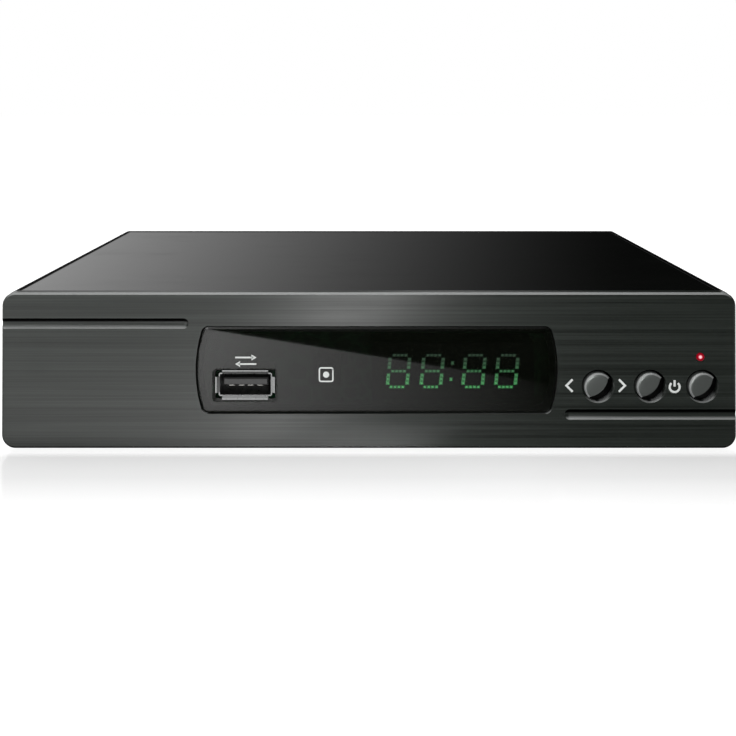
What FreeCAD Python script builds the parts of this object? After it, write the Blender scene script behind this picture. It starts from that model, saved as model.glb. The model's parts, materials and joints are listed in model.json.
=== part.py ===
import FreeCAD, Part
import math
import os

# Compact satellite television receiver: a moulded fascia in front of a two-piece sheet-steel case.
# Millimetres, +X to the right as a viewer faces the fascia, +Y to the back, +Z up.
# The origin is on the table under the middle of the object's bounding box.
# A "depth" is measured backwards from the fascia's front face; back(depth) turns it into a Y.

Vector = FreeCAD.Vector
X_AXIS = Vector(1, 0, 0)
Y_AXIS = Vector(0, 1, 0)
Z_AXIS = Vector(0, 0, 1)
OVERCUT = 1.0  # how far a cutting tool runs past the material
BITE = 0.4  # how far a joined rib or boss reaches into its wall

# ---- driving dimensions: the case ----
FASCIA_WIDTH = 180.0
FASCIA_HEIGHT = 38.1
FASCIA_CORNER = 3.3
FASCIA_LIFT = 0.8  # air between the fascia and the table
FASCIA_RIM = 3.0  # depth of the fascia that shows in front of the cover
FASCIA_WALL = 2.4
FASCIA_BEVEL = 0.5
CASE_DEPTH = 122.0  # fascia front to the cover's rear lip
CASE_WIDTH = 179.6
COVER_STEP = 0.1  # the cover's top lies this far below the fascia's top edge
SHEET = 0.8
BEND_RADIUS = 2.5
REAR_BEND_RADIUS = 0.9
SHEET_GAP = 0.1
REAR_WALL_CORNER = 1.6  # cut off the rear wall under the cover's bends
FOOT_HEIGHT = 2.0
FOOT_RADIUS = 6.0
FOOT_SIDES = 16
FOOT_X = 72.0
FOOT_DEPTHS = (18.0, 106.0)
CHASSIS_FLANGE = 11.0

# ---- driving dimensions: what stands out in front and behind ----
BUTTON_PROUD = 1.1
THREAD_LENGTH = 10.0
THREAD_SHOULDER = 1.0
CONNECTOR_PROUD = THREAD_LENGTH + THREAD_SHOULDER

REAR_WALL_FACE = CASE_DEPTH - SHEET  # depth of the chassis's rear wall, outer face
TOTAL_DEPTH = BUTTON_PROUD + REAR_WALL_FACE + CONNECTOR_PROUD
FRONT_Y = BUTTON_PROUD - TOTAL_DEPTH / 2

FASCIA_TOP = FASCIA_LIFT + FASCIA_HEIGHT
COVER_TOP = FASCIA_TOP - COVER_STEP
CASE_BOTTOM = FOOT_HEIGHT
FLOOR_TOP = CASE_BOTTOM + SHEET
COVER_INSIDE_X = CASE_WIDTH / 2 - SHEET
CHASSIS_X = COVER_INSIDE_X - SHEET_GAP
REAR_WALL_INSIDE = REAR_WALL_FACE - SHEET

# ---- driving dimensions: vents ----
SIDE_VENTS = 13
SIDE_VENT_PITCH = 4.6
SIDE_VENT_FIRST = 42.0
SIDE_VENT_LOW = 14.0
SIDE_VENT_HIGH = 28.0
FLOOR_VENTS = 11
FLOOR_VENT_PITCH = 6.4
FLOOR_VENT_LENGTH = 16.0
FLOOR_VENT_DEPTHS = (56.0, 78.0)
VENT_WIDTH = 2.0

# ---- driving dimensions: the fascia's skirt and what it carries ----
SKIRT_GAP = 0.3
SKIRT_WALL = 1.8
SKIRT_END = 13.8
SKIRT_CORNER = 2.2
SKIRT_INNER_CORNER = 1.0
SKIRT_X = COVER_INSIDE_X - SKIRT_GAP
SKIRT_BOTTOM = FLOOR_TOP + 0.2
SKIRT_TOP = COVER_TOP - SHEET - 0.2
RIB_THICK = 1.2
RIB_REACH = 3.8
RIB_END = 9.0
UPPER_RIBS = (-74.0, -30.0, 8.0, 34.0, 66.0)
LOWER_RIBS = (-74.0, -30.0, 8.0, 34.0, 52.0)
GROOVE_DEPTH = 0.8
GROOVE_HEIGHT = 2.55
LEFT_GROOVE_Z = 31.35
LEFT_GROOVE_END = -44.2
RIGHT_GROOVE_Z = 9.15
RIGHT_GROOVE_END = 47.9

# ---- driving dimensions: display window ----
WINDOW_X = 1.9
WINDOW_Z = 20.0
WINDOW_HALF_WIDTH = 44.3
WINDOW_HEIGHT = 21.3
WINDOW_BOW = 1.8  # how far each end bulges outwards
WINDOW_CORNER = 1.8
WINDOW_SINK = 0.25
WINDOW_THICK = 1.25
WINDOW_BEVEL = 0.45
WINDOW_GAP = 0.08
WINDOW_LEDGE = 1.6
WINDOW_BACK = WINDOW_SINK + WINDOW_THICK

# ---- driving dimensions: front controls ----
BUTTON_NAMES = ("previous", "next", "power")
BUTTON_X = (56.1, 68.85, 81.65)
BUTTON_Z = 16.0
BUTTON_RADIUS = 3.5
BUTTON_FACE_RADIUS = 3.15
BUTTON_RIM = -0.6  # depth of the edge where the bevelled front starts
BUTTON_HOLE_RADIUS = 3.75
BUTTON_HOLE_CHAMFER = 0.3
BUTTON_TRAVEL = 0.5
SCOOP_SHIFT = 2.8  # each key's lower right is cut back outside a cone set off this far up and left
SCOOP_RADIUS = 5.0  # of the cone where it meets the key's face
SCOOP_SPREAD = 0.85  # how fast the cone widens with depth
SCOOP_END = 1.8
CHIMNEY_RADIUS = 5.1
CHIMNEY_SIDES = 16
CHIMNEY_END = 5.2
KEY_BAR_WIDTH = 3.6
KEY_BAR_HEIGHT = 9.4
KEY_BAR_THICK = 1.0
KEY_BAR_GAP = 0.2
KEY_STEM = 3.0
LED_X = 81.15
LED_Z = 23.2
LED_RADIUS = 0.95
LED_SINK = -0.15
LED_BODY = 3.0
LED_BODY_END = 9.2
LED_LEAD_X = 0.8
LEAD_THICK = 0.5

# ---- driving dimensions: front board ----
FRONT_BOARD_DEPTH = 12.0
BOARD_THICK = 1.6
FRONT_BOARD_LEFT = -50.0
FRONT_BOARD_RIGHT = 84.5
FRONT_BOARD_BOTTOM = 5.6
FRONT_BOARD_TOP = 35.2
FRONT_BOSSES = ((-46.5, 32.0), (-46.5, 8.6), (49.0, 32.4), (75.3, 8.2))
BOSS_RADIUS = 2.8
BOSS_HOLE_START = 4.0
SWITCH_SIZE = 6.0
SWITCH_DEPTH = 3.5
SWITCH_FACE = FRONT_BOARD_DEPTH - SWITCH_DEPTH
SWITCH_LID = 0.3
SWITCH_LID_INSET = 0.2
PLUNGER_SIZE = 2.8
PLUNGER_LENGTH = 1.5
PLUNGER_SUNK = 0.5
PLUNGER_PLAY = 0.25
PLUNGER_WELL = PLUNGER_SUNK + BUTTON_TRAVEL + 0.4
STEM_END = SWITCH_FACE - PLUNGER_LENGTH

# ---- driving dimensions: seven-segment display ----
DISPLAY_X = 20.7
DISPLAY_Z = 19.3
DISPLAY_WIDTH = 40.0
DISPLAY_HEIGHT = 14.0
DISPLAY_FACE = 2.0
DIGIT_X = (-13.4, -5.1, 5.2, 13.3)  # from the middle of the display
DIGIT_WIDTH = 4.8  # between the middles of the upright strokes
DIGIT_HEIGHT = 7.8  # between the middles of the top and bottom strokes
DIGIT_SLANT = 0.1
SEGMENT_WIDTH = 0.85
SEGMENT_RAISED = 0.3
SEGMENT_SHORTEN = 0.5
COLON_X = -0.3
COLON_RISE = 2.0
COLON_SIZE = 0.9

# ---- driving dimensions: infrared receiver ----
IR_X = -10.5
IR_Z = 18.8
IR_FACE = 2.4
IR_LENS_RADIUS = 2.4
IR_LENS_END = 3.8
IR_WIDTH = 6.6
IR_HEIGHT = 6.4
IR_BACK = 8.4
IR_LEADS = (-2.54, 0.0, 2.54)

# ---- driving dimensions: type A serial port in the front ----
USB_X = -30.4
USB_Z = 16.2
USB_HOLE_WIDTH = 14.6
USB_HOLE_HEIGHT = 6.8
USB_HOLE_BEVEL = 0.7
USB_WIDTH = 12.5  # clear mouth
USB_HEIGHT = 5.1
USB_SHELL = 0.3
USB_SHELL_CORNER = 0.5
USB_FRONT = 0.5
USB_LIP_DEPTH = 0.6
USB_LIP_ROOT = 0.4
USB_LIP_FLARE = 0.75
USB_LIP_GAP = 0.6  # from the end of each lip to the corner
USB_TONGUE_WIDTH = 11.1
USB_TONGUE_THICK = 1.8
USB_TONGUE_BOTTOM = USB_Z - 0.4
USB_TONGUE_FRONT = 1.8
USB_TONGUE_BEVEL = 0.3
USB_BASE_DEPTH = 9.6
USB_CONTACT_X = (-3.5, -1.1, 1.1, 3.5)
USB_CONTACT_WIDTH = 1.3
USB_CONTACT_THICK = 0.2
USB_CONTACT_BOW = 0.6
FIT = 0.01  # play between an insert and its shell, each side

# ---- driving dimensions: main board and the sockets at the back ----
STANDOFF_HEIGHT = 5.0
MAIN_BOARD_BOTTOM = FLOOR_TOP + STANDOFF_HEIGHT
MAIN_BOARD_TOP = MAIN_BOARD_BOTTOM + BOARD_THICK
MAIN_BOARD_X = 82.0
MAIN_BOARD_FRONT = 24.0
MAIN_BOARD_BACK = 119.2
MAIN_BOSSES = ((-77.0, 31.0), (77.0, 31.0), (-77.0, 92.0), (77.0, 76.0))
BRIDGE_WIDTH = 7.0
BRIDGE_SLIT = 0.6
BRIDGE_TOP = 3.5  # half the length of the flat seat
BRIDGE_FOOT = 7.0  # half the length at the floor
SOCKET_OPENING = 0.3  # clear all round in the rear wall
LNB_X = (72.0, 52.0)
LNB_Z = MAIN_BOARD_TOP + 8.6
LNB_RADIUS = 4.7
LNB_HEX_RADIUS = 6.35
LNB_BORE = 3.4
LNB_PLUG_SINK = 0.6
LNB_CONTACT_RADIUS = 0.9
LNB_CONTACT_SINK = 1.6
LNB_CONTACT_TAIL = 4.0
TUNER_FRONT = 84.0
TUNER_BACK = 119.4
TUNER_HEIGHT = 16.0
TUNER_X = (40.5, 83.0)
TUNER_SHEET = 0.5
TUNER_LID_SHEET = 0.4
TUNER_LID_SKIRT = 1.5
TUNER_SLOTS = (92.0, 100.0, 108.0)
TUNER_SLOT_WIDTH = 1.2
HDMI_X = 29.0
HDMI_Z = MAIN_BOARD_TOP + 3.4
HDMI_WIDTH = 14.0
HDMI_HEIGHT = 4.55
HDMI_SLANT = 1.9
HDMI_SHELL = 0.35
HDMI_FLANGE = 0.5
HDMI_DEPTH = 11.5
HDMI_FACE = REAR_WALL_FACE + 0.4
HDMI_BASE = 3.0
HDMI_TONGUE_WIDTH = 11.6
HDMI_TONGUE_THICK = 1.1
HDMI_TONGUE_RISE = 0.2
HDMI_TONGUE_SINK = 1.8
HDMI_CONTACT_WIDTH = 0.45
HDMI_CONTACT_THICK = 0.1
HDMI_CONTACT_SINK = 2.2
SCART_X = -9.5
SCART_Z = MAIN_BOARD_TOP + 9.0
SCART_WIDTH = 47.0
SCART_HEIGHT = 16.4
SCART_DEPTH = 19.0
SCART_FACE = REAR_WALL_FACE + 0.6
SCART_WALL = 1.6
SCART_TROUGH_WIDTH = 1.4
SCART_SLANT = 5.4
SCART_COLUMNS = 10
SCART_PITCH = 3.81
SCART_ROWS = 1.9  # half the distance between the two rows' middles
SCART_TROUGH = 9.5  # depth of the trough and of the contact slots
SCART_SLOT_WIDTH = 1.3
SCART_SLOT_HEIGHT = 3.0
SCART_BLADE = 0.4
SCART_BLADE_HEIGHT = 2.4
SCART_BLADE_SINK = 1.6
SCART_EARTH_WIDTH = 26.0
COAX_X = -47.5
COAX_Z = MAIN_BOARD_TOP + 8.0
COAX_BODY_SIZE = 10.0
COAX_BODY_DEPTH = 9.0
COAX_FACE = REAR_WALL_FACE + 0.3
COAX_RADIUS = 4.15
COAX_END = REAR_WALL_FACE + 8.5
COAX_RING_BORE = 3.6
COAX_INSERT_SINK = 0.4
COAX_CONTACT_RADIUS = 1.85
COAX_CONTACT_WALL = 0.25
COAX_CONTACT_SINK = 1.2
DC_X = -68.0
DC_Z = MAIN_BOARD_TOP + 6.5
DC_WIDTH = 9.0
DC_HEIGHT = 11.0
DC_DROP = 1.0  # the body's middle lies this far below the bore's
DC_FACE = REAR_WALL_FACE + 0.3
DC_BORE = 3.2
DC_BORE_DEPTH = 10.0
DC_PIN_RADIUS = 1.0
DC_PIN_SINK = 0.8
DC_DEPTH = 14.0

# ---- driving dimensions: what stands on the main board ----
CHIP_X = 8.0
CHIP_DEPTH = 66.0
CHIP_SIZE = 24.0
CHIP_THICK = 1.6
CHIP_BEVEL = 0.3
PAD_SIZE = 20.0
PAD_THICK = 0.5
SINK_SIZE = 30.0
SINK_BASE = 2.0
SINK_HEIGHT = 12.0
SINK_FINS = 9
FIN_THICK = 1.1
MEMORY_THICK = 1.2
INDUCTOR_SIZE = 8.0
INDUCTOR_HEIGHT = 4.5
INDUCTOR_CORNER = 1.4
CAN_SIDES = 12
PLUG_SIDES = 16
CRYSTAL_X = 28.0
CRYSTAL_DEPTH = 88.0
CRYSTAL_WIDTH = 4.6
CRYSTAL_LENGTH = 11.0
CRYSTAL_HEIGHT = 3.4
CRYSTAL_CORNER = 1.6

# ---- driving dimensions: ribbon between the boards ----
RIBBON_X = 20.0
RIBBON_Z = 24.0  # where it leaves the front board
RIBBON_WIDTH = 18.0
RIBBON_THICK = 0.4
RIBBON_BEND = 6.5
RIBBON_END_DEPTH = 30.0
HEADER_LENGTH = 22.0
HEADER_WIDTH = 5.0
HEADER_HEIGHT = 5.0
HEADER_FLOOR = 1.5
HEADER_SLOT = 2.0
HEADER_PLAY = 0.6

# ---- driving dimensions: screws ----
SCREW_HEAD_RADIUS = 2.7
SCREW_HEAD_HEIGHT = 1.6
SCREW_HEAD_SIDES = 12
SHANK_RADIUS = 1.1
SHANK_SIDES = 6
PILOT_RADIUS = 1.3
SCREW_HOLE_RADIUS = 1.6
SHEET_SCREW = 4.0
PLASTIC_SCREW = 6.0
SIDE_SCREW_Z = 8.2
SIDE_SCREW_DEPTHS = (34.0, 102.0)
LIP_HEIGHT = 7.0
LIP_SCREW_X = (-80.0, 0.0, 80.0)
LIP_SCREW_Z = COVER_TOP - 4.0
FASCIA_SCREW_X = 65.0
FASCIA_SCREW_DEPTH = 8.0
FASCIA_BLOCK = 4.0  # half the width of the block that takes a fascia screw
FASCIA_BLOCK_END = 11.4
FASCIA_BLOCK_TOP = 10.0
FASCIA_HOLE_TOP = 9.0


# ---- places and simple forms ----
def back(depth):
    """The Y of a place this far behind the fascia's front face."""
    return FRONT_Y + depth


def box(x0, x1, depth0, depth1, z0, z1):
    """A block between two X, two depths and two Z."""
    return Part.makeBox(x1 - x0, depth1 - depth0, z1 - z0, Vector(x0, back(depth0), z0))


def block(x, z, width, height, depth0, depth1):
    """A block centred on X and Z."""
    return box(x - width / 2, x + width / 2, depth0, depth1, z - height / 2, z + height / 2)


def edges_along(shape, axis):
    """The straight edges of a shape that run along an axis."""
    found = []
    for edge in shape.Edges:
        if isinstance(edge.Curve, (Part.Line, Part.LineSegment)):
            ends = edge.Vertexes
            run = ends[-1].Point.sub(ends[0].Point)
            if run.Length > 0 and abs(abs(run.dot(axis)) - run.Length) < 1e-6:
                found.append(edge)
    return found


def edges_at_depth(shape, depth):
    """The edges of a shape that lie flat in the plane at one depth."""
    y = back(depth)
    return [e for e in shape.Edges if abs(e.BoundBox.YMin - y) < 1e-4 and abs(e.BoundBox.YMax - y) < 1e-4]


def edges_at_height(shape, z):
    """The edges of a shape that lie flat in the plane at one height."""
    return [e for e in shape.Edges if abs(e.BoundBox.ZMin - z) < 1e-4 and abs(e.BoundBox.ZMax - z) < 1e-4]


def top_edges(shape, axis):
    """The straight edges along an axis that lie at the top of a shape."""
    top = shape.BoundBox.ZMax
    return [e for e in edges_along(shape, axis) if abs(e.BoundBox.ZMin - top) < 1e-6]


def rounded(shape, radius, axis=Y_AXIS):
    """The shape with its edges along one axis rounded."""
    return shape.makeFillet(radius, edges_along(shape, axis))


def rod(x, z, radius, depth0, depth1):
    """A round bar along Y."""
    return Part.makeCylinder(radius, depth1 - depth0, Vector(x, back(depth0), z), Y_AXIS)


def pipe(x, z, outer, inner, depth0, depth1):
    """A tube along Y."""
    return rod(x, z, outer, depth0, depth1).cut(rod(x, z, inner, depth0 - OVERCUT, depth1 + OVERCUT))


def cone_y(x, z, radius0, radius1, depth0, depth1):
    """A round taper along Y."""
    return Part.makeCone(radius0, radius1, depth1 - depth0, Vector(x, back(depth0), z), Y_AXIS)


def few_sided(radius, sides, start, axis, length):
    """A regular bar with its corners on the radius, which keeps small repeated round parts light."""
    turn = FreeCAD.Rotation(Z_AXIS, axis)
    corners = []
    for n in range(sides):
        angle = 2 * math.pi * n / sides
        corner = Vector(radius * math.cos(angle), radius * math.sin(angle), 0)
        corners.append(start.add(turn.multVec(corner)))
    face = Part.Face(Part.makePolygon(corners + corners[:1]))
    return face.extrude(axis * length)


def few_sided_y(x, z, radius, sides, depth0, depth1):
    """A regular bar along Y."""
    return few_sided(radius, sides, Vector(x, back(depth0), z), Y_AXIS, depth1 - depth0)


def few_sided_z(x, depth, radius, sides, z0, z1):
    """A regular bar along Z."""
    return few_sided(radius, sides, Vector(x, back(depth), z0), Z_AXIS, z1 - z0)


def prism_x(points, x0, x1):
    """A profile of (depth, z) points drawn along X."""
    corners = [Vector(x0, back(depth), z) for depth, z in points]
    face = Part.Face(Part.makePolygon(corners + corners[:1]))
    return face.extrude(Vector(x1 - x0, 0, 0))


def prism_y(points, depth0, depth1):
    """A profile of (x, z) points drawn along Y."""
    corners = [Vector(x, back(depth0), z) for x, z in points]
    face = Part.Face(Part.makePolygon(corners + corners[:1]))
    return face.extrude(Vector(0, depth1 - depth0, 0))


def prism_z(points, z0, z1):
    """A profile of (x, depth) points drawn along Z."""
    corners = [Vector(x, back(depth), z0) for x, depth in points]
    face = Part.Face(Part.makePolygon(corners + corners[:1]))
    return face.extrude(Vector(0, 0, z1 - z0))


def turned(x, z, profile):
    """A profile of (radius, depth) points turned about a Y axis through X and Z."""
    corners = [Vector(x + radius, back(depth), z) for radius, depth in profile]
    face = Part.Face(Part.makePolygon(corners + corners[:1]))
    return face.revolve(Vector(x, 0, z), Y_AXIS, 360)


def fused(shapes):
    """One solid from several that overlap or touch."""
    return shapes[0].multiFuse(shapes[1:]).removeSplitter()


def cut_all(shape, tools):
    """The shape less every tool."""
    return shape.cut(Part.makeCompound(tools))


# ---- fascia ----
def groove(z, end, side):
    """A shallow groove of rounded section, from its ball-shaped end out through one side."""
    half = GROOVE_HEIGHT / 2
    radius = (half ** 2 + GROOVE_DEPTH ** 2) / (2 * GROOVE_DEPTH)
    start = Vector(end + side * half, back(GROOVE_DEPTH - radius), z)
    length = FASCIA_WIDTH / 2 + OVERCUT - abs(start.x)
    channel = Part.makeCylinder(radius, length, start, Vector(side, 0, 0))
    return channel.fuse(Part.makeSphere(radius, start))


def bowed_plate(inset, depth0, depth1):
    """The window's outline, drawn in by inset: straight top and bottom, ends that bulge."""
    half_width = WINDOW_HALF_WIDTH - inset
    half_height = WINDOW_HEIGHT / 2 - inset
    corner_x = half_width - WINDOW_BOW
    y = back(depth0)

    def place(dx, dz):
        return Vector(WINDOW_X + dx, y, WINDOW_Z + dz)

    upper = Part.makeLine(place(-corner_x, half_height), place(corner_x, half_height))
    right = Part.Arc(place(corner_x, half_height), place(half_width, 0), place(corner_x, -half_height))
    lower = Part.makeLine(place(corner_x, -half_height), place(-corner_x, -half_height))
    left = Part.Arc(place(-corner_x, -half_height), place(-half_width, 0), place(-corner_x, half_height))
    outline = Part.Wire([upper, right.toShape(), lower, left.toShape()])
    plate = Part.Face(outline).extrude(Vector(0, depth1 - depth0, 0))
    return rounded(plate, WINDOW_CORNER)


def corner_rib(x, z, reach):
    """A rib between the front wall and the skirt; reach is positive upwards."""
    profile = [(FASCIA_WALL, z), (RIB_END, z), (FASCIA_WALL, z + reach)]
    return prism_x(profile, x - RIB_THICK / 2, x + RIB_THICK / 2)


def fascia_shell():
    """The bevelled front plate and the hollow skirt that slides into the case."""
    half = FASCIA_WIDTH / 2
    plate = rounded(box(-half, half, 0, FASCIA_RIM, FASCIA_LIFT, FASCIA_TOP), FASCIA_CORNER)
    plate = plate.makeChamfer(FASCIA_BEVEL, edges_at_depth(plate, 0))
    skirt = rounded(box(-SKIRT_X, SKIRT_X, FASCIA_WALL, SKIRT_END, SKIRT_BOTTOM, SKIRT_TOP), SKIRT_CORNER)
    inner_x = SKIRT_X - SKIRT_WALL
    low = SKIRT_BOTTOM + SKIRT_WALL
    high = SKIRT_TOP - SKIRT_WALL
    hollow = box(-inner_x, inner_x, FASCIA_WALL, SKIRT_END + OVERCUT, low, high)
    return plate.fuse(skirt).cut(rounded(hollow, SKIRT_INNER_CORNER))


def fascia_screw_block(x):
    """The block inside the skirt that takes a screw from under the case."""
    low = SKIRT_BOTTOM + SKIRT_WALL - BITE
    start = FASCIA_WALL - BITE
    return box(x - FASCIA_BLOCK, x + FASCIA_BLOCK, start, FASCIA_BLOCK_END, low, FASCIA_BLOCK_TOP)


def key_hole(x):
    """The bore of one key with its chamfered mouth."""
    wide = BUTTON_HOLE_RADIUS + BUTTON_HOLE_CHAMFER
    bore = rod(x, BUTTON_Z, BUTTON_HOLE_RADIUS, -OVERCUT, CHIMNEY_END + OVERCUT)
    return bore.fuse(cone_y(x, BUTTON_Z, wide, BUTTON_HOLE_RADIUS, 0, BUTTON_HOLE_CHAMFER))


def front_fascia():
    start = FASCIA_WALL - BITE
    added = [few_sided_y(x, z, BOSS_RADIUS, CAN_SIDES, start, FRONT_BOARD_DEPTH) for x, z in FRONT_BOSSES]
    added += [few_sided_y(x, BUTTON_Z, CHIMNEY_RADIUS, CHIMNEY_SIDES, start, CHIMNEY_END) for x in BUTTON_X]
    added += [corner_rib(x, SKIRT_TOP - SKIRT_WALL + BITE, -RIB_REACH) for x in UPPER_RIBS]
    added += [corner_rib(x, SKIRT_BOTTOM + SKIRT_WALL - BITE, RIB_REACH) for x in LOWER_RIBS]
    added += [fascia_screw_block(side * FASCIA_SCREW_X) for side in (-1, 1)]
    body = fused([fascia_shell()] + added)

    cuts = [
        bowed_plate(-WINDOW_GAP, -OVERCUT, WINDOW_BACK),
        bowed_plate(WINDOW_LEDGE, -OVERCUT, FASCIA_WALL + OVERCUT),
        groove(LEFT_GROOVE_Z, LEFT_GROOVE_END, -1),
        groove(RIGHT_GROOVE_Z, RIGHT_GROOVE_END, 1),
        rod(LED_X, LED_Z, LED_RADIUS + 0.1, -OVERCUT, FASCIA_WALL + OVERCUT),
    ]
    cuts += [key_hole(x) for x in BUTTON_X]
    end = FRONT_BOARD_DEPTH + OVERCUT
    cuts += [few_sided_y(x, z, PILOT_RADIUS, SHANK_SIDES, BOSS_HOLE_START, end) for x, z in FRONT_BOSSES]
    for side in (-1, 1):
        x = side * FASCIA_SCREW_X
        bottom = SKIRT_BOTTOM - OVERCUT
        cuts.append(few_sided_z(x, FASCIA_SCREW_DEPTH, PILOT_RADIUS, SHANK_SIDES, bottom, FASCIA_HOLE_TOP))
    return cut_all(body, cuts)


def display_window():
    """The bowed clear plate with the port's bevelled opening."""
    plate = bowed_plate(0, WINDOW_SINK, WINDOW_BACK)
    plate = plate.makeChamfer(WINDOW_BEVEL, edges_at_depth(plate, WINDOW_SINK))
    near = WINDOW_SINK - OVERCUT
    plate = plate.cut(block(USB_X, USB_Z, USB_HOLE_WIDTH, USB_HOLE_HEIGHT, near, WINDOW_BACK + OVERCUT))
    reach = USB_HOLE_WIDTH / 2 + USB_HOLE_BEVEL
    mouth = [
        e
        for e in edges_at_depth(plate, WINDOW_SINK)
        if abs(e.BoundBox.Center.x - USB_X) < reach and abs(e.BoundBox.Center.z - USB_Z) < reach
    ]
    return plate.makeChamfer(USB_HOLE_BEVEL, mouth)


# ---- keys, lamp and front board ----
def key_scoop(x):
    """What is cut from a key's lower right, which leaves a lens-shaped face and a steep hollow."""
    front = -BUTTON_PROUD - OVERCUT
    around = rod(x, BUTTON_Z, BUTTON_RADIUS + OVERCUT, front, SCOOP_END)
    narrow = SCOOP_RADIUS - SCOOP_SPREAD * OVERCUT
    end = SCOOP_END + OVERCUT
    wide = narrow + SCOOP_SPREAD * (end - front)
    return around.cut(cone_y(x - SCOOP_SHIFT, BUTTON_Z + SCOOP_SHIFT, narrow, wide, front, end))


def key_cap(x):
    """A round bevelled key, the bar across its back that keeps it in the fascia, and its stem."""
    bar_front = CHIMNEY_END + KEY_BAR_GAP
    cap = turned(x, BUTTON_Z, [
        (0.0, -BUTTON_PROUD),
        (BUTTON_FACE_RADIUS, -BUTTON_PROUD),
        (BUTTON_RADIUS, BUTTON_RIM),
        (BUTTON_RADIUS, bar_front + BITE),
        (0.0, bar_front + BITE),
    ])
    bar = block(x, BUTTON_Z, KEY_BAR_WIDTH, KEY_BAR_HEIGHT, bar_front, bar_front + KEY_BAR_THICK)
    stem = block(x, BUTTON_Z, KEY_STEM, KEY_STEM, bar_front, STEM_END)
    return fused([cap.cut(key_scoop(x)), bar, stem])


def switch_plunger(x):
    """The switch's own plunger, which the key's stem pushes."""
    return block(x, BUTTON_Z, PLUNGER_SIZE, PLUNGER_SIZE, STEM_END, SWITCH_FACE + PLUNGER_SUNK)


def tact_switches():
    """Three square push switches, each with a metal lid and a well for its plunger."""
    switches = []
    seam = SWITCH_FACE + SWITCH_LID
    lid_size = SWITCH_SIZE - 2 * SWITCH_LID_INSET
    well_size = PLUNGER_SIZE + 2 * PLUNGER_PLAY
    for x in BUTTON_X:
        body = block(x, BUTTON_Z, SWITCH_SIZE, SWITCH_SIZE, seam, FRONT_BOARD_DEPTH)
        lid = block(x, BUTTON_Z, lid_size, lid_size, SWITCH_FACE, seam)
        well = block(x, BUTTON_Z, well_size, well_size, SWITCH_FACE - OVERCUT, SWITCH_FACE + PLUNGER_WELL)
        switches.append(body.fuse(lid).cut(well))
    return Part.makeCompound(switches)


def standby_led():
    """A lamp whose round nose reaches through the fascia, on a square body and two leads."""
    nose = rod(LED_X, LED_Z, LED_RADIUS, LED_SINK, FASCIA_WALL + 0.6)
    body = block(LED_X, LED_Z, LED_BODY, LED_BODY, FASCIA_WALL + 0.5, LED_BODY_END)
    near = LED_BODY_END - BITE
    places = [LED_X + side * LED_LEAD_X for side in (-1, 1)]
    leads = [block(x, LED_Z, LEAD_THICK, LEAD_THICK, near, FRONT_BOARD_DEPTH) for x in places]
    return fused([nose, body] + leads)


def front_board():
    front = FRONT_BOARD_DEPTH
    rear = front + BOARD_THICK
    board = box(FRONT_BOARD_LEFT, FRONT_BOARD_RIGHT, front, rear, FRONT_BOARD_BOTTOM, FRONT_BOARD_TOP)
    near = front - OVERCUT
    far = rear + OVERCUT
    holes = [few_sided_y(x, z, SCREW_HOLE_RADIUS, SHANK_SIDES, near, far) for x, z in FRONT_BOSSES]
    return cut_all(board, holes)


def segment_outline(x, z, length, upright):
    """A pointed bar, as (x, z) points, lying or standing, sheared by the digits' slant."""
    tip = SEGMENT_WIDTH / 2
    half = length / 2
    side = half - tip
    bar = [(-half, 0), (-side, tip), (side, tip), (half, 0), (side, -tip), (-side, -tip)]
    placed = [(dz, dx) for dx, dz in bar] if upright else bar
    return [(x + dx + DIGIT_SLANT * (z + dz), z + dz) for dx, dz in placed]


def digit_segments():
    """The seven (x, z) outlines of one digit about its own middle."""
    half_height = DIGIT_HEIGHT / 2
    lying = DIGIT_WIDTH - SEGMENT_SHORTEN
    standing = half_height - SEGMENT_SHORTEN
    outlines = [segment_outline(0, level * half_height, lying, False) for level in (-1, 0, 1)]
    for side in (-1, 1):
        for level in (-1, 1):
            outlines.append(segment_outline(side * DIGIT_WIDTH / 2, level * half_height / 2, standing, True))
    return outlines


def display_segments():
    """The raised light guides of the four digits and the colon on the display's face."""
    front = DISPLAY_FACE - SEGMENT_RAISED
    guides = []
    for digit_x in DIGIT_X:
        for outline in digit_segments():
            placed = [(DISPLAY_X + digit_x + x, DISPLAY_Z + z) for x, z in outline]
            guides.append(prism_y(placed, front, DISPLAY_FACE))
    for level in (-1, 1):
        x = DISPLAY_X + COLON_X + DIGIT_SLANT * level * COLON_RISE
        z = DISPLAY_Z + level * COLON_RISE
        guides.append(block(x, z, COLON_SIZE, COLON_SIZE, front, DISPLAY_FACE))
    return Part.makeCompound(guides)


def display_module():
    return block(DISPLAY_X, DISPLAY_Z, DISPLAY_WIDTH, DISPLAY_HEIGHT, DISPLAY_FACE, FRONT_BOARD_DEPTH)


def infrared_receiver():
    """A moulded body with a round lens on its face, on three leads."""
    lens = rod(IR_X, IR_Z, IR_LENS_RADIUS, IR_FACE, IR_LENS_END + BITE)
    body = block(IR_X, IR_Z, IR_WIDTH, IR_HEIGHT, IR_LENS_END, IR_BACK)
    leads = [
        block(IR_X + dx, IR_Z - IR_HEIGHT / 3, LEAD_THICK, LEAD_THICK, IR_BACK - BITE, FRONT_BOARD_DEPTH)
        for dx in IR_LEADS
    ]
    return fused([body, lens] + leads)


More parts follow.
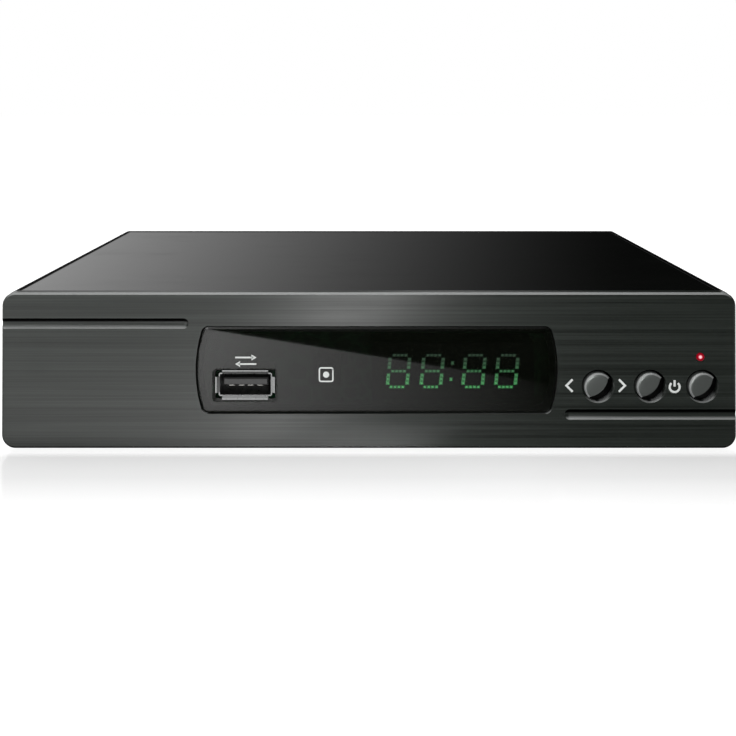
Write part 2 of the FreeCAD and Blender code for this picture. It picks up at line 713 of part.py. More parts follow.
# ---- type A serial port ----
def port_lip(side, along_x):
    """One flared lip of the port's mouth, along the top and bottom or along the ends."""
    reach = (USB_HEIGHT if along_x else USB_WIDTH) / 2
    half_length = (USB_WIDTH if along_x else USB_HEIGHT) / 2 - USB_LIP_GAP
    tube_front = USB_FRONT + USB_LIP_DEPTH
    root = tube_front + USB_LIP_ROOT
    profile = [
        (root, side * reach),
        (tube_front, side * reach),
        (USB_FRONT, side * (reach + USB_LIP_FLARE)),
        (USB_FRONT, side * (reach + USB_LIP_FLARE + USB_SHELL)),
        (tube_front, side * (reach + USB_SHELL)),
        (root, side * (reach + USB_SHELL)),
    ]
    if along_x:
        placed = [(depth, USB_Z + dz) for depth, dz in profile]
        return prism_x(placed, USB_X - half_length, USB_X + half_length)
    placed = [(USB_X + dx, depth) for depth, dx in profile]
    return prism_z(placed, USB_Z - half_length, USB_Z + half_length)


def usb_shell():
    """The port's folded steel tube with four flared lips."""
    tube_front = USB_FRONT + USB_LIP_DEPTH
    width = USB_WIDTH + 2 * USB_SHELL
    height = USB_HEIGHT + 2 * USB_SHELL
    tube = rounded(block(USB_X, USB_Z, width, height, tube_front, FRONT_BOARD_DEPTH), USB_SHELL_CORNER)
    bore = block(USB_X, USB_Z, USB_WIDTH, USB_HEIGHT, tube_front - OVERCUT, FRONT_BOARD_DEPTH + OVERCUT)
    lips = [port_lip(side, along_x) for side in (-1, 1) for along_x in (True, False)]
    return fused([tube.cut(bore)] + lips)


def usb_tongue():
    """The block at the back of the port and the tongue that carries the contacts."""
    width = USB_WIDTH - 2 * FIT
    base = block(USB_X, USB_Z, width, USB_HEIGHT - 2 * FIT, USB_BASE_DEPTH, FRONT_BOARD_DEPTH - FIT)
    half = USB_TONGUE_WIDTH / 2
    top = USB_TONGUE_BOTTOM + USB_TONGUE_THICK
    tongue = box(USB_X - half, USB_X + half, USB_TONGUE_FRONT, USB_BASE_DEPTH + BITE, USB_TONGUE_BOTTOM, top)
    tongue = tongue.makeChamfer(USB_TONGUE_BEVEL, edges_at_depth(tongue, USB_TONGUE_FRONT))
    return tongue.fuse(base).removeSplitter()


def usb_contacts():
    """Four bowed spring contacts under the tongue."""
    top = USB_TONGUE_BOTTOM
    front = USB_TONGUE_FRONT + 0.6
    profile = [
        (front, top),
        (USB_BASE_DEPTH, top),
        (USB_BASE_DEPTH, top - USB_CONTACT_THICK),
        (front + 3.2, top - USB_CONTACT_THICK),
        (front + 1.8, top - USB_CONTACT_THICK - USB_CONTACT_BOW),
        (front + 0.4, top - USB_CONTACT_THICK),
        (front, top - USB_CONTACT_THICK),
    ]
    half = USB_CONTACT_WIDTH / 2
    middles = [USB_X + dx for dx in USB_CONTACT_X]
    return Part.makeCompound([prism_x(profile, x - half, x + half) for x in middles])


# ---- sheet-metal case ----
def side_vents():
    """Upright slots in both side walls of the cover."""
    reach = CASE_WIDTH / 2 + OVERCUT
    half = VENT_WIDTH / 2
    tools = []
    for side in (-1, 1):
        x0, x1 = sorted((side * reach, side * (reach - SHEET - 2 * OVERCUT)))
        for n in range(SIDE_VENTS):
            depth = SIDE_VENT_FIRST + n * SIDE_VENT_PITCH
            tools.append(box(x0, x1, depth - half, depth + half, SIDE_VENT_LOW, SIDE_VENT_HIGH))
    return tools


def floor_vents():
    """Two rows of slots in the floor."""
    half_length = FLOOR_VENT_LENGTH / 2
    half = VENT_WIDTH / 2
    first = -FLOOR_VENT_PITCH * (FLOOR_VENTS - 1) / 2
    low = CASE_BOTTOM - OVERCUT
    high = FLOOR_TOP + OVERCUT
    tools = []
    for depth in FLOOR_VENT_DEPTHS:
        for n in range(FLOOR_VENTS):
            x = first + n * FLOOR_VENT_PITCH
            tools.append(box(x - half, x + half, depth - half_length, depth + half_length, low, high))
    return tools


def side_screw_holes(radius):
    """Cutters through both side walls at the four side screws."""
    length = 4 * OVERCUT
    tools = []
    for depth in SIDE_SCREW_DEPTHS:
        for side in (-1, 1):
            start = Vector(side * (CASE_WIDTH / 2 - length / 2), back(depth), SIDE_SCREW_Z)
            tools.append(few_sided(radius, SHANK_SIDES, start, Vector(side, 0, 0), length))
    return tools


def lip_screw_holes(radius, depth0, depth1):
    """Cutters at the screws along the top of the rear wall."""
    return [few_sided_y(x, LIP_SCREW_Z, radius, SHANK_SIDES, depth0, depth1) for x in LIP_SCREW_X]


def top_cover():
    """A folded sheet: top, two vented sides and a lip that turns down over the rear wall."""
    half = CASE_WIDTH / 2
    outer = box(-half, half, FASCIA_RIM, CASE_DEPTH, CASE_BOTTOM, COVER_TOP)
    outer = outer.makeFillet(BEND_RADIUS, top_edges(outer, Y_AXIS))
    rear = [e for e in top_edges(outer, X_AXIS) if e.BoundBox.YMin > 0]
    outer = outer.makeFillet(REAR_BEND_RADIUS, rear)

    inside = COVER_INSIDE_X
    low = CASE_BOTTOM - OVERCUT
    inner = box(-inside, inside, FASCIA_RIM - OVERCUT, REAR_WALL_FACE, low, COVER_TOP - SHEET)
    inner = inner.makeFillet(BEND_RADIUS - SHEET, top_edges(inner, Y_AXIS))
    wide = half + OVERCUT
    below_lip = box(-wide, wide, REAR_WALL_FACE, CASE_DEPTH + OVERCUT, 0, COVER_TOP - LIP_HEIGHT)
    holes = side_screw_holes(SCREW_HOLE_RADIUS)
    holes += lip_screw_holes(SCREW_HOLE_RADIUS, REAR_WALL_FACE - OVERCUT, CASE_DEPTH + OVERCUT)
    return cut_all(outer, [inner, below_lip] + side_vents() + holes)


def bridge(x, depth):
    """A strip of the floor pressed up as a seat for the main board, and what is cut from under it."""
    half = BRIDGE_WIDTH / 2
    top = MAIN_BOARD_BOTTOM
    strip = prism_x([
        (depth - BRIDGE_FOOT, CASE_BOTTOM),
        (depth - BRIDGE_TOP, top),
        (depth + BRIDGE_TOP, top),
        (depth + BRIDGE_FOOT, CASE_BOTTOM),
    ], x - half, x + half)
    hollow = prism_x([
        (depth - BRIDGE_FOOT + SHEET, CASE_BOTTOM - FIT),
        (depth - BRIDGE_TOP + SHEET / 2, top - SHEET),
        (depth + BRIDGE_TOP - SHEET / 2, top - SHEET),
        (depth + BRIDGE_FOOT - SHEET, CASE_BOTTOM - FIT),
    ], x - half - BRIDGE_SLIT, x + half + BRIDGE_SLIT)
    hole = few_sided_z(x, depth, PILOT_RADIUS, SHANK_SIDES, CASE_BOTTOM, top + OVERCUT)
    return strip, hollow.fuse(hole)


def rear_openings():
    """Cutters for the sockets in the rear wall."""
    near = REAR_WALL_INSIDE - OVERCUT
    far = REAR_WALL_FACE + OVERCUT
    clear = 2 * SOCKET_OPENING
    hdmi_grow = 2 * (HDMI_SHELL + HDMI_FLANGE) + clear
    wide = LNB_HEX_RADIUS + SOCKET_OPENING
    tools = [few_sided_y(x, LNB_Z, wide, PLUG_SIDES, near, far) for x in LNB_X]
    tools.append(block(HDMI_X, HDMI_Z, HDMI_WIDTH + hdmi_grow, HDMI_HEIGHT + hdmi_grow, near, far))
    tools.append(block(SCART_X, SCART_Z, SCART_WIDTH + clear, SCART_HEIGHT + clear, near, far))
    tools.append(block(COAX_X, COAX_Z, COAX_BODY_SIZE + clear, COAX_BODY_SIZE + clear, near, far))
    tools.append(block(DC_X, DC_Z - DC_DROP, DC_WIDTH + clear, DC_HEIGHT + clear, near, far))
    return tools + lip_screw_holes(PILOT_RADIUS, near, far)


def chassis_tray():
    """Floor, rear wall and low side flanges, with the board's seats pressed up from the floor."""
    floor = box(-CHASSIS_X, CHASSIS_X, FASCIA_RIM + 0.2, REAR_WALL_FACE, CASE_BOTTOM, FLOOR_TOP)
    wall_top = COVER_TOP - SHEET - SHEET_GAP
    rear_wall = box(-CHASSIS_X, CHASSIS_X, REAR_WALL_INSIDE, REAR_WALL_FACE, CASE_BOTTOM, wall_top)
    rear_wall = rear_wall.makeChamfer(REAR_WALL_CORNER, top_edges(rear_wall, Y_AXIS))
    near = SKIRT_END + OVERCUT
    flange_top = CASE_BOTTOM + CHASSIS_FLANGE
    flanges = []
    for side in (-1, 1):
        x0, x1 = sorted((side * CHASSIS_X, side * (CHASSIS_X - SHEET)))
        flanges.append(box(x0, x1, near, REAR_WALL_FACE, CASE_BOTTOM, flange_top))
    seats = [bridge(x, depth) for x, depth in MAIN_BOSSES]
    tray = fused([floor, rear_wall] + flanges + [strip for strip, hollow in seats])
    tools = [hollow for strip, hollow in seats]
    tools += floor_vents() + rear_openings() + side_screw_holes(PILOT_RADIUS)
    low = CASE_BOTTOM - OVERCUT
    high = FLOOR_TOP + OVERCUT
    for side in (-1, 1):
        x = side * FASCIA_SCREW_X
        tools.append(few_sided_z(x, FASCIA_SCREW_DEPTH, SCREW_HOLE_RADIUS, SHANK_SIDES, low, high))
    return cut_all(tray, tools)


def rubber_feet():
    feet = []
    for side in (-1, 1):
        for depth in FOOT_DEPTHS:
            feet.append(few_sided_z(side * FOOT_X, depth, FOOT_RADIUS, FOOT_SIDES, 0, FOOT_HEIGHT))
    return Part.makeCompound(feet)


# ---- screws ----
def screw(length, seat, direction):
    """A pan-head screw whose head faces along direction, seated at a point."""
    head = few_sided(SCREW_HEAD_RADIUS, SCREW_HEAD_SIDES, seat, direction, SCREW_HEAD_HEIGHT)
    shank = few_sided(SHANK_RADIUS, SHANK_SIDES, seat.sub(direction * length), direction, length + BITE)
    return head.fuse(shank)


def cover_screws():
    screws = []
    for side in (-1, 1):
        for depth in SIDE_SCREW_DEPTHS:
            seat = Vector(side * CASE_WIDTH / 2, back(depth), SIDE_SCREW_Z)
            screws.append(screw(SHEET_SCREW, seat, Vector(side, 0, 0)))
    for x in LIP_SCREW_X:
        screws.append(screw(SHEET_SCREW, Vector(x, back(CASE_DEPTH), LIP_SCREW_Z), Y_AXIS))
    return Part.makeCompound(screws)


def fascia_screws():
    y = back(FASCIA_SCREW_DEPTH)
    down = Vector(0, 0, -1)
    seats = [Vector(side * FASCIA_SCREW_X, y, CASE_BOTTOM) for side in (-1, 1)]
    return Part.makeCompound([screw(PLASTIC_SCREW, seat, down) for seat in seats])


def front_board_screws():
    y = back(FRONT_BOARD_DEPTH + BOARD_THICK)
    return Part.makeCompound([screw(PLASTIC_SCREW, Vector(x, y, z), Y_AXIS) for x, z in FRONT_BOSSES])


def main_board_screws():
    seats = [Vector(x, back(depth), MAIN_BOARD_TOP) for x, depth in MAIN_BOSSES]
    return Part.makeCompound([screw(SHEET_SCREW, seat, Z_AXIS) for seat in seats])


# ---- main board and its parts ----
def main_board():
    half = MAIN_BOARD_X
    board = box(-half, half, MAIN_BOARD_FRONT, MAIN_BOARD_BACK, MAIN_BOARD_BOTTOM, MAIN_BOARD_TOP)
    low = MAIN_BOARD_BOTTOM - OVERCUT
    high = MAIN_BOARD_TOP + OVERCUT
    holes = [few_sided_z(x, depth, SCREW_HOLE_RADIUS, SHANK_SIDES, low, high) for x, depth in MAIN_BOSSES]
    return cut_all(board, holes)


def on_board(x, depth, width, length, z0, z1):
    """A block over the main board, centred on X and depth, with Z counted from the board's top."""
    low = MAIN_BOARD_TOP + z0
    high = MAIN_BOARD_TOP + z1
    return box(x - width / 2, x + width / 2, depth - length / 2, depth + length / 2, low, high)


def main_processor():
    chip = on_board(CHIP_X, CHIP_DEPTH, CHIP_SIZE, CHIP_SIZE, 0, CHIP_THICK)
    return chip.makeChamfer(CHIP_BEVEL, edges_at_height(chip, MAIN_BOARD_TOP + CHIP_THICK))


def thermal_pad():
    return on_board(CHIP_X, CHIP_DEPTH, PAD_SIZE, PAD_SIZE, CHIP_THICK, CHIP_THICK + PAD_THICK)


def heatsink():
    """A finned block whose fins run from front to back."""
    foot = CHIP_THICK + PAD_THICK
    base = on_board(CHIP_X, CHIP_DEPTH, SINK_SIZE, SINK_SIZE, foot, foot + SINK_BASE)
    pitch = (SINK_SIZE - FIN_THICK) / (SINK_FINS - 1)
    first = CHIP_X - (SINK_SIZE - FIN_THICK) / 2
    fins = []
    for n in range(SINK_FINS):
        x = first + n * pitch
        fins.append(on_board(x, CHIP_DEPTH, FIN_THICK, SINK_SIZE, foot + SINK_BASE, foot + SINK_HEIGHT))
    return fused([base] + fins)


def memory_chips():
    """Two memories and a small store beside the processor."""
    places = ((36.0, 58.0, 10.0, 20.0), (-20.0, 58.0, 12.0, 18.0), (-20.0, 80.0, 5.0, 6.0))
    return Part.makeCompound([on_board(x, depth, w, l, 0, MEMORY_THICK) for x, depth, w, l in places])


def electrolytic_capacitors():
    """Cans by X, depth, radius and height."""
    places = (
        (-66.0, 84.0, 4.0, 12.0),
        (-55.0, 84.0, 4.0, 12.0),
        (-66.0, 70.0, 3.15, 11.0),
        (-44.0, 78.0, 3.15, 11.0),
        (34.0, 78.0, 2.5, 7.0),
        (-34.0, 92.0, 2.5, 7.0),
    )
    low = MAIN_BOARD_TOP
    cans = [few_sided_z(x, depth, radius, CAN_SIDES, low, low + h) for x, depth, radius, h in places]
    return Part.makeCompound(cans)


def power_inductors():
    """Two square coils with cut corners beside the power socket."""
    bodies = []
    for x, depth in ((-52.0, 64.0), (-40.0, 62.0)):
        body = on_board(x, depth, INDUCTOR_SIZE, INDUCTOR_SIZE, 0, INDUCTOR_HEIGHT)
        bodies.append(body.makeChamfer(INDUCTOR_CORNER, edges_along(body, Z_AXIS)))
    return Part.makeCompound(bodies)


def regulator_chips():
    """Power chips by X, depth, width, length and height."""
    places = ((-62.0, 56.0, 6.5, 7.0, 1.8), (-50.0, 52.0, 5.0, 6.0, 1.6), (56.0, 68.0, 7.0, 7.0, 1.2))
    return Part.makeCompound([on_board(x, depth, w, l, 0, h) for x, depth, w, l, h in places])


def crystal():
    can = on_board(CRYSTAL_X, CRYSTAL_DEPTH, CRYSTAL_WIDTH, CRYSTAL_LENGTH, 0, CRYSTAL_HEIGHT)
    return can.makeChamfer(CRYSTAL_CORNER, edges_along(can, Z_AXIS))


def board_header():
    """The ribbon's socket on the main board, open upwards."""
    outer = on_board(RIBBON_X, RIBBON_END_DEPTH, HEADER_LENGTH, HEADER_WIDTH, 0, HEADER_HEIGHT)
    width = RIBBON_WIDTH + HEADER_PLAY
    above = HEADER_HEIGHT + OVERCUT
    return outer.cut(on_board(RIBBON_X, RIBBON_END_DEPTH, width, HEADER_SLOT, HEADER_FLOOR, above))


def front_header():
    """The ribbon's socket behind the front board, open to the back."""
    front = FRONT_BOARD_DEPTH + BOARD_THICK
    end = front + HEADER_HEIGHT
    outer = block(RIBBON_X, RIBBON_Z, HEADER_LENGTH, HEADER_WIDTH, front, end)
    width = RIBBON_WIDTH + HEADER_PLAY
    return outer.cut(block(RIBBON_X, RIBBON_Z, width, HEADER_SLOT, front + HEADER_FLOOR, end + OVERCUT))


def ribbon_cable():
    """A flat cable: straight back out of the front socket, one bend, and down into the main board's."""
    start = back(FRONT_BOARD_DEPTH + BOARD_THICK + HEADER_FLOOR)
    down = back(RIBBON_END_DEPTH)
    low = MAIN_BOARD_TOP + HEADER_FLOOR
    x = RIBBON_X - RIBBON_WIDTH / 2
    centre = Vector(x, down - RIBBON_BEND, RIBBON_Z - RIBBON_BEND)
    half = RIBBON_THICK / 2

    def run(offset):
        """One face of the cable, offset from its middle."""
        radius = RIBBON_BEND + offset
        slant = radius * math.sin(math.pi / 4)
        top = centre.add(Vector(0, 0, radius))
        side = centre.add(Vector(0, radius, 0))
        straight = Part.makeLine(Vector(x, start, RIBBON_Z + offset), top)
        turn = Part.Arc(top, centre.add(Vector(0, slant, slant)), side).toShape()
        return [straight, turn, Part.makeLine(side, Vector(x, down + offset, low))]

    front_cut = Part.makeLine(Vector(x, start, RIBBON_Z + half), Vector(x, start, RIBBON_Z - half))
    lower_cut = Part.makeLine(Vector(x, down + half, low), Vector(x, down - half, low))
    outline = Part.Wire(Part.__sortEdges__(run(half) + [lower_cut] + run(-half) + [front_cut]))
    return Part.Face(outline).extrude(Vector(RIBBON_WIDTH, 0, 0))


# ---- tuner and aerial sockets ----
def tuner_can():
    """An open-topped screening box with a hole behind each aerial socket."""
    left, right = TUNER_X
    wall = TUNER_SHEET
    top = MAIN_BOARD_TOP + TUNER_HEIGHT
    outer = box(left, right, TUNER_FRONT, TUNER_BACK, MAIN_BOARD_TOP, top - wall)
    inner = box(left + wall, right - wall, TUNER_FRONT + wall, TUNER_BACK - wall, MAIN_BOARD_TOP + wall, top)
    near = TUNER_BACK - 2 * OVERCUT
    hole = LNB_BORE + BITE
    holes = [few_sided_y(x, LNB_Z, hole, CAN_SIDES, near, TUNER_BACK + OVERCUT) for x in LNB_X]
    return cut_all(outer, [inner] + holes)


def tuner_lid():
    """A press-on lid with a short skirt over the can and a row of punched relief slots."""
    left, right = TUNER_X
    sheet = TUNER_LID_SHEET
    top = MAIN_BOARD_TOP + TUNER_HEIGHT
    skirt = top - TUNER_LID_SKIRT
    lid = box(left - sheet, right + sheet, TUNER_FRONT - sheet, TUNER_BACK + sheet, skirt, top)
    inner = box(left, right, TUNER_FRONT, TUNER_BACK, skirt - OVERCUT, top - TUNER_SHEET)
    inset = 6 * OVERCUT
    slots = [
        box(left + inset, right - inset, depth, depth + TUNER_SLOT_WIDTH, top - OVERCUT, top + OVERCUT)
        for depth in TUNER_SLOTS
    ]
    return cut_all(lid, [inner] + slots)


def lnb_socket(x):
    """The screw-on aerial socket: a hexagonal shoulder against the tuner, and the thread's barrel."""
    shoulder_end = REAR_WALL_FACE + THREAD_SHOULDER
    end = shoulder_end + THREAD_LENGTH
    shoulder = few_sided_y(x, LNB_Z, LNB_HEX_RADIUS, SHANK_SIDES, TUNER_BACK, shoulder_end)
    barrel = rod(x, LNB_Z, LNB_RADIUS, shoulder_end - BITE, end)
    bore = few_sided_y(x, LNB_Z, LNB_BORE, PLUG_SIDES, TUNER_BACK - OVERCUT, end + OVERCUT)
    return shoulder.fuse(barrel).cut(bore)


def lnb_insulators():
    """The white dielectric plugs, each with a hole over its contact."""
    end = REAR_WALL_FACE + CONNECTOR_PROUD - LNB_PLUG_SINK
    near = TUNER_BACK - TUNER_SHEET
    plugs = []
    for x in LNB_X:
        plug = few_sided_y(x, LNB_Z, LNB_BORE, PLUG_SIDES, near, end)
        hole = few_sided_y(x, LNB_Z, LNB_CONTACT_RADIUS, SHANK_SIDES, near - OVERCUT, end + OVERCUT)
        plugs.append(plug.cut(hole))
    return Part.makeCompound(plugs)


def lnb_contacts():
    """The contacts that take the cable's inner conductor."""
    near = TUNER_BACK - LNB_CONTACT_TAIL
    end = REAR_WALL_FACE + CONNECTOR_PROUD - LNB_PLUG_SINK - LNB_CONTACT_SINK
    pins = [few_sided_y(x, LNB_Z, LNB_CONTACT_RADIUS, SHANK_SIDES, near, end) for x in LNB_X]
    return Part.makeCompound(pins)


# ---- picture and sound sockets ----
def hdmi_outline(grow):
    """The socket's mouth: square above, chamfered below, as (x, z) points."""
    half_width = HDMI_WIDTH / 2 + grow
    half_height = HDMI_HEIGHT / 2 + grow
    return [
        (HDMI_X - half_width, HDMI_Z + half_height),
        (HDMI_X + half_width, HDMI_Z + half_height),
        (HDMI_X + half_width, HDMI_Z - half_height + HDMI_SLANT),
        (HDMI_X + half_width - HDMI_SLANT, HDMI_Z - half_height),
        (HDMI_X - half_width + HDMI_SLANT, HDMI_Z - half_height),
        (HDMI_X - half_width, HDMI_Z - half_height + HDMI_SLANT),
    ]


def hdmi_shell():
    near = HDMI_FACE - HDMI_DEPTH
    tube = prism_y(hdmi_outline(HDMI_SHELL), near, HDMI_FACE)
    flange = prism_y(hdmi_outline(HDMI_SHELL + HDMI_FLANGE), HDMI_FACE - BITE, HDMI_FACE)
    mouth = prism_y(hdmi_outline(0), near - OVERCUT, HDMI_FACE + OVERCUT)
    return tube.fuse(flange).cut(mouth).removeSplitter()


def hdmi_tongue():
    near = HDMI_FACE - HDMI_DEPTH
    base = prism_y(hdmi_outline(-FIT), near, near + HDMI_BASE)
    z = HDMI_Z + HDMI_TONGUE_RISE
    end = HDMI_FACE - HDMI_TONGUE_SINK
    tongue = block(HDMI_X, z, HDMI_TONGUE_WIDTH, HDMI_TONGUE_THICK, near + HDMI_BASE - BITE, end)
    return base.fuse(tongue).removeSplitter()


def hdmi_contacts():
    """Nineteen contacts a millimetre apart: ten over the tongue and nine under it."""
    near = HDMI_FACE - HDMI_DEPTH + HDMI_BASE
    end = HDMI_FACE - HDMI_CONTACT_SINK
    rise = (HDMI_TONGUE_THICK + HDMI_CONTACT_THICK) / 2
    contacts = []
    for count, side in ((10, 1), (9, -1)):
        z = HDMI_Z + HDMI_TONGUE_RISE + side * rise
        for n in range(count):
            x = HDMI_X + n - (count - 1) / 2
            contacts.append(block(x, z, HDMI_CONTACT_WIDTH, HDMI_CONTACT_THICK, near, end))
    return Part.makeCompound(contacts)


def scart_outline(inset):
    """A long rectangle with one slanted lower end, drawn in from the housing, as (x, z) points."""
    half_width = SCART_WIDTH / 2 - inset
    half_height = SCART_HEIGHT / 2 - inset
    slant = SCART_SLANT - (2 - math.sqrt(2)) * (inset - SCART_WALL)
    return [
        (SCART_X - half_width, SCART_Z + half_height),
        (SCART_X + half_width, SCART_Z + half_height),
        (SCART_X + half_width, SCART_Z - half_height),
        (SCART_X - half_width + slant, SCART_Z - half_height),
        (SCART_X - half_width, SCART_Z - half_height + slant),
    ]


def scart_contact_places():
    """X and Z of the twenty contacts, in two rows half a pitch apart."""
    places = []
    for n in range(SCART_COLUMNS):
        offset = (n - (SCART_COLUMNS - 1) / 2) * SCART_PITCH
        places.append((SCART_X + offset - SCART_PITCH / 4, SCART_Z + SCART_ROWS))
        places.append((SCART_X + offset + SCART_PITCH / 4, SCART_Z - SCART_ROWS))
    return places


def scart_housing():
    """The audio-video socket: a trough for the plug's skirt round a tongue with contact slots."""
    body = block(SCART_X, SCART_Z, SCART_WIDTH, SCART_HEIGHT, SCART_FACE - SCART_DEPTH, SCART_FACE)
    floor = SCART_FACE - SCART_TROUGH
    outer = prism_y(scart_outline(SCART_WALL), floor, SCART_FACE + OVERCUT)
    island = scart_outline(SCART_WALL + SCART_TROUGH_WIDTH)
    inner = prism_y(island, floor - OVERCUT, SCART_FACE + 2 * OVERCUT)
    slots = [
        block(x, z, SCART_SLOT_WIDTH, SCART_SLOT_HEIGHT, floor, SCART_FACE + OVERCUT)
        for x, z in scart_contact_places()
    ]
    return cut_all(body, [outer.cut(inner)] + slots)


def scart_contacts():
    """Twenty spring blades at the sides of their slots, and the earthing blade in the trough."""
    floor = SCART_FACE - SCART_TROUGH
    end = SCART_FACE - SCART_BLADE_SINK
    shift = (SCART_SLOT_WIDTH - SCART_BLADE) / 2 - 0.1
    places = scart_contact_places()
    blades = [block(x - shift, z, SCART_BLADE, SCART_BLADE_HEIGHT, floor, end) for x, z in places]
    earth_z = SCART_Z + SCART_HEIGHT / 2 - SCART_WALL - SCART_TROUGH_WIDTH / 2
    blades.append(block(SCART_X, earth_z, SCART_EARTH_WIDTH, SCART_BLADE, floor, end))
    return Part.makeCompound(blades)


def coax_body():
    """The square moulded base of the round digital-audio socket, down to the main board."""
    near = REAR_WALL_INSIDE - COAX_BODY_DEPTH
    half = COAX_BODY_SIZE / 2
    body = box(COAX_X - half, COAX_X + half, near, REAR_WALL_INSIDE - FIT, MAIN_BOARD_TOP, COAX_Z + half)
    nose = block(COAX_X, COAX_Z, COAX_BODY_SIZE, COAX_BODY_SIZE, near, COAX_FACE)
    return fused([body, nose])


def coax_ring():
    """The plated barrel that the plug's skirt grips."""
    return pipe(COAX_X, COAX_Z, COAX_RADIUS, COAX_RING_BORE, COAX_FACE, COAX_END)


def coax_insert():
    """The coloured plug inside the ring, with a hole for the contact."""
    end = COAX_END - COAX_INSERT_SINK
    plug = rod(COAX_X, COAX_Z, COAX_RING_BORE, COAX_FACE, end)
    near = COAX_FACE - OVERCUT
    return plug.cut(few_sided_y(COAX_X, COAX_Z, COAX_CONTACT_RADIUS, CAN_SIDES, near, end + OVERCUT))


def coax_contact():
    """The sleeve that takes the plug's pin."""
    end = COAX_END - COAX_CONTACT_SINK
    inside = COAX_CONTACT_RADIUS - COAX_CONTACT_WALL
    sleeve = few_sided_y(COAX_X, COAX_Z, COAX_CONTACT_RADIUS, CAN_SIDES, COAX_FACE, end)
    return sleeve.cut(few_sided_y(COAX_X, COAX_Z, inside, CAN_SIDES, COAX_FACE + BITE, end + OVERCUT))


def power_jack():
    """The barrel socket for the supply's plug."""
    near = REAR_WALL_INSIDE - DC_DEPTH
    z = DC_Z - DC_DROP
    body = block(DC_X, z, DC_WIDTH, DC_HEIGHT, near, DC_FACE)
    return body.cut(rod(DC_X, DC_Z, DC_BORE, DC_FACE - DC_BORE_DEPTH, DC_FACE + OVERCUT))


def power_jack_pin():
    return rod(DC_X, DC_Z, DC_PIN_RADIUS, DC_FACE - DC_BORE_DEPTH, DC_FACE - DC_PIN_SINK)


# ---- the whole receiver ----
def build():
    shapes = {
        "front_fascia": front_fascia(),
        "display_window": display_window(),
        "tact_switches": tact_switches(),
        "standby_led": standby_led(),
        "front_board": front_board(),
        "display_segments": display_segments(),
        "display_module": display_module(),
        "infrared_receiver": infrared_receiver(),
        "usb_shell": usb_shell(),
        "usb_tongue": usb_tongue(),
        "usb_contacts": usb_contacts(),
        "top_cover": top_cover(),
        "chassis_tray": chassis_tray(),
        "rubber_feet": rubber_feet(),
        "cover_screws": cover_screws(),
        "fascia_screws": fascia_screws(),
        "front_board_screws": front_board_screws(),
        "main_board_screws": main_board_screws(),
        "main_board": main_board(),
        "main_processor": main_processor(),
        "thermal_pad": thermal_pad(),
        "heatsink": heatsink(),
        "memory_chips": memory_chips(),
        "electrolytic_capacitors": electrolytic_capacitors(),
        "power_inductors": power_inductors(),
        "regulator_chips": regulator_chips(),
        "crystal": crystal(),
        "board_header": board_header(),
        "front_header": front_header(),
        "ribbon_cable": ribbon_cable(),
        "tuner_can": tuner_can(),
        "tuner_lid": tuner_lid(),
        "lnb_in_socket": lnb_socket(LNB_X[0]),
        "lnb_out_socket": lnb_socket(LNB_X[1]),
        "lnb_insulators": lnb_insulators(),
        "lnb_contacts": lnb_contacts(),
        "hdmi_shell": hdmi_shell(),
        "hdmi_tongue": hdmi_tongue(),
        "hdmi_contacts": hdmi_contacts(),
        "scart_housing": scart_housing(),
        "scart_contacts": scart_contacts(),
        "coax_body": coax_body(),
        "coax_ring": coax_ring(),
        "coax_insert": coax_insert(),
        "coax_contact": coax_contact(),
        "power_jack": power_jack(),
        "power_jack_pin": power_jack_pin(),
    }
    for name, x in zip(BUTTON_NAMES, BUTTON_X):
        shapes[f"{name}_button"] = key_cap(x)
        shapes[f"{name}_plunger"] = switch_plunger(x)
    return shapes


os.makedirs("parts", exist_ok=True)
for node, shape in build().items():
    sound = shape.isValid() and all(solid.isClosed() and solid.Volume > 0 for solid in shape.Solids)
    verdict = "ok" if sound else "NOT SOUND"
    print(f"{node:26s} solids {len(shape.Solids):3d}  volume {shape.Volume:10.2f} mm3  {verdict}")
    shape.exportStep(f"parts/{node}.step")
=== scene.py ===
import json
import math

import bmesh
import bpy
from mathutils import Matrix, Vector
from mathutils.geometry import tessellate_polygon


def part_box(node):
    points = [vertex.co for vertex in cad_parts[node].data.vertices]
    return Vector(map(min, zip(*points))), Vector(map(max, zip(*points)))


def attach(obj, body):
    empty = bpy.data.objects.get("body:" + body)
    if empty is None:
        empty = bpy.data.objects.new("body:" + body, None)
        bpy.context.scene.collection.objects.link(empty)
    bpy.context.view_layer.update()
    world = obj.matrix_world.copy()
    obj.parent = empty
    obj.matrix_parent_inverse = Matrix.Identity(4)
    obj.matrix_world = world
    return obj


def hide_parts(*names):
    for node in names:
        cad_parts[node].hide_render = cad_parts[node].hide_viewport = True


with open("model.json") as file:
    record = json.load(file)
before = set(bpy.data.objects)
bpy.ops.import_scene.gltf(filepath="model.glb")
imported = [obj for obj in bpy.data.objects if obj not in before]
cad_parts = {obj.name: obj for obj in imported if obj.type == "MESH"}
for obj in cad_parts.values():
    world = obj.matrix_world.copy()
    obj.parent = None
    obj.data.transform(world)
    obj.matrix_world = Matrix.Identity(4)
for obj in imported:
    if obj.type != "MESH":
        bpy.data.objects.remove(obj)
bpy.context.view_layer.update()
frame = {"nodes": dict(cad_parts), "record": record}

# A compact satellite receiver: brushed dark fascia, smoked display window, three push keys, black
# sheet-steel cover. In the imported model's frame the fascia faces -Y and +Z is up. Forms are worked
# out in millimetres and turned into metres when their mesh is made. A depth is counted backwards
# from the fascia's front face. Lamps and the camera are in metres.

MM = 0.001
NODES = frame["nodes"]
FASCIA_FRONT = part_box("front_fascia")[0].y
FRONT_MM = FASCIA_FRONT / MM


# ---------------------------------------------------------------- small helpers
def middle(node):
    """The centre of a node's box, in millimetres."""
    low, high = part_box(node)
    return (low + high) / 2 / MM


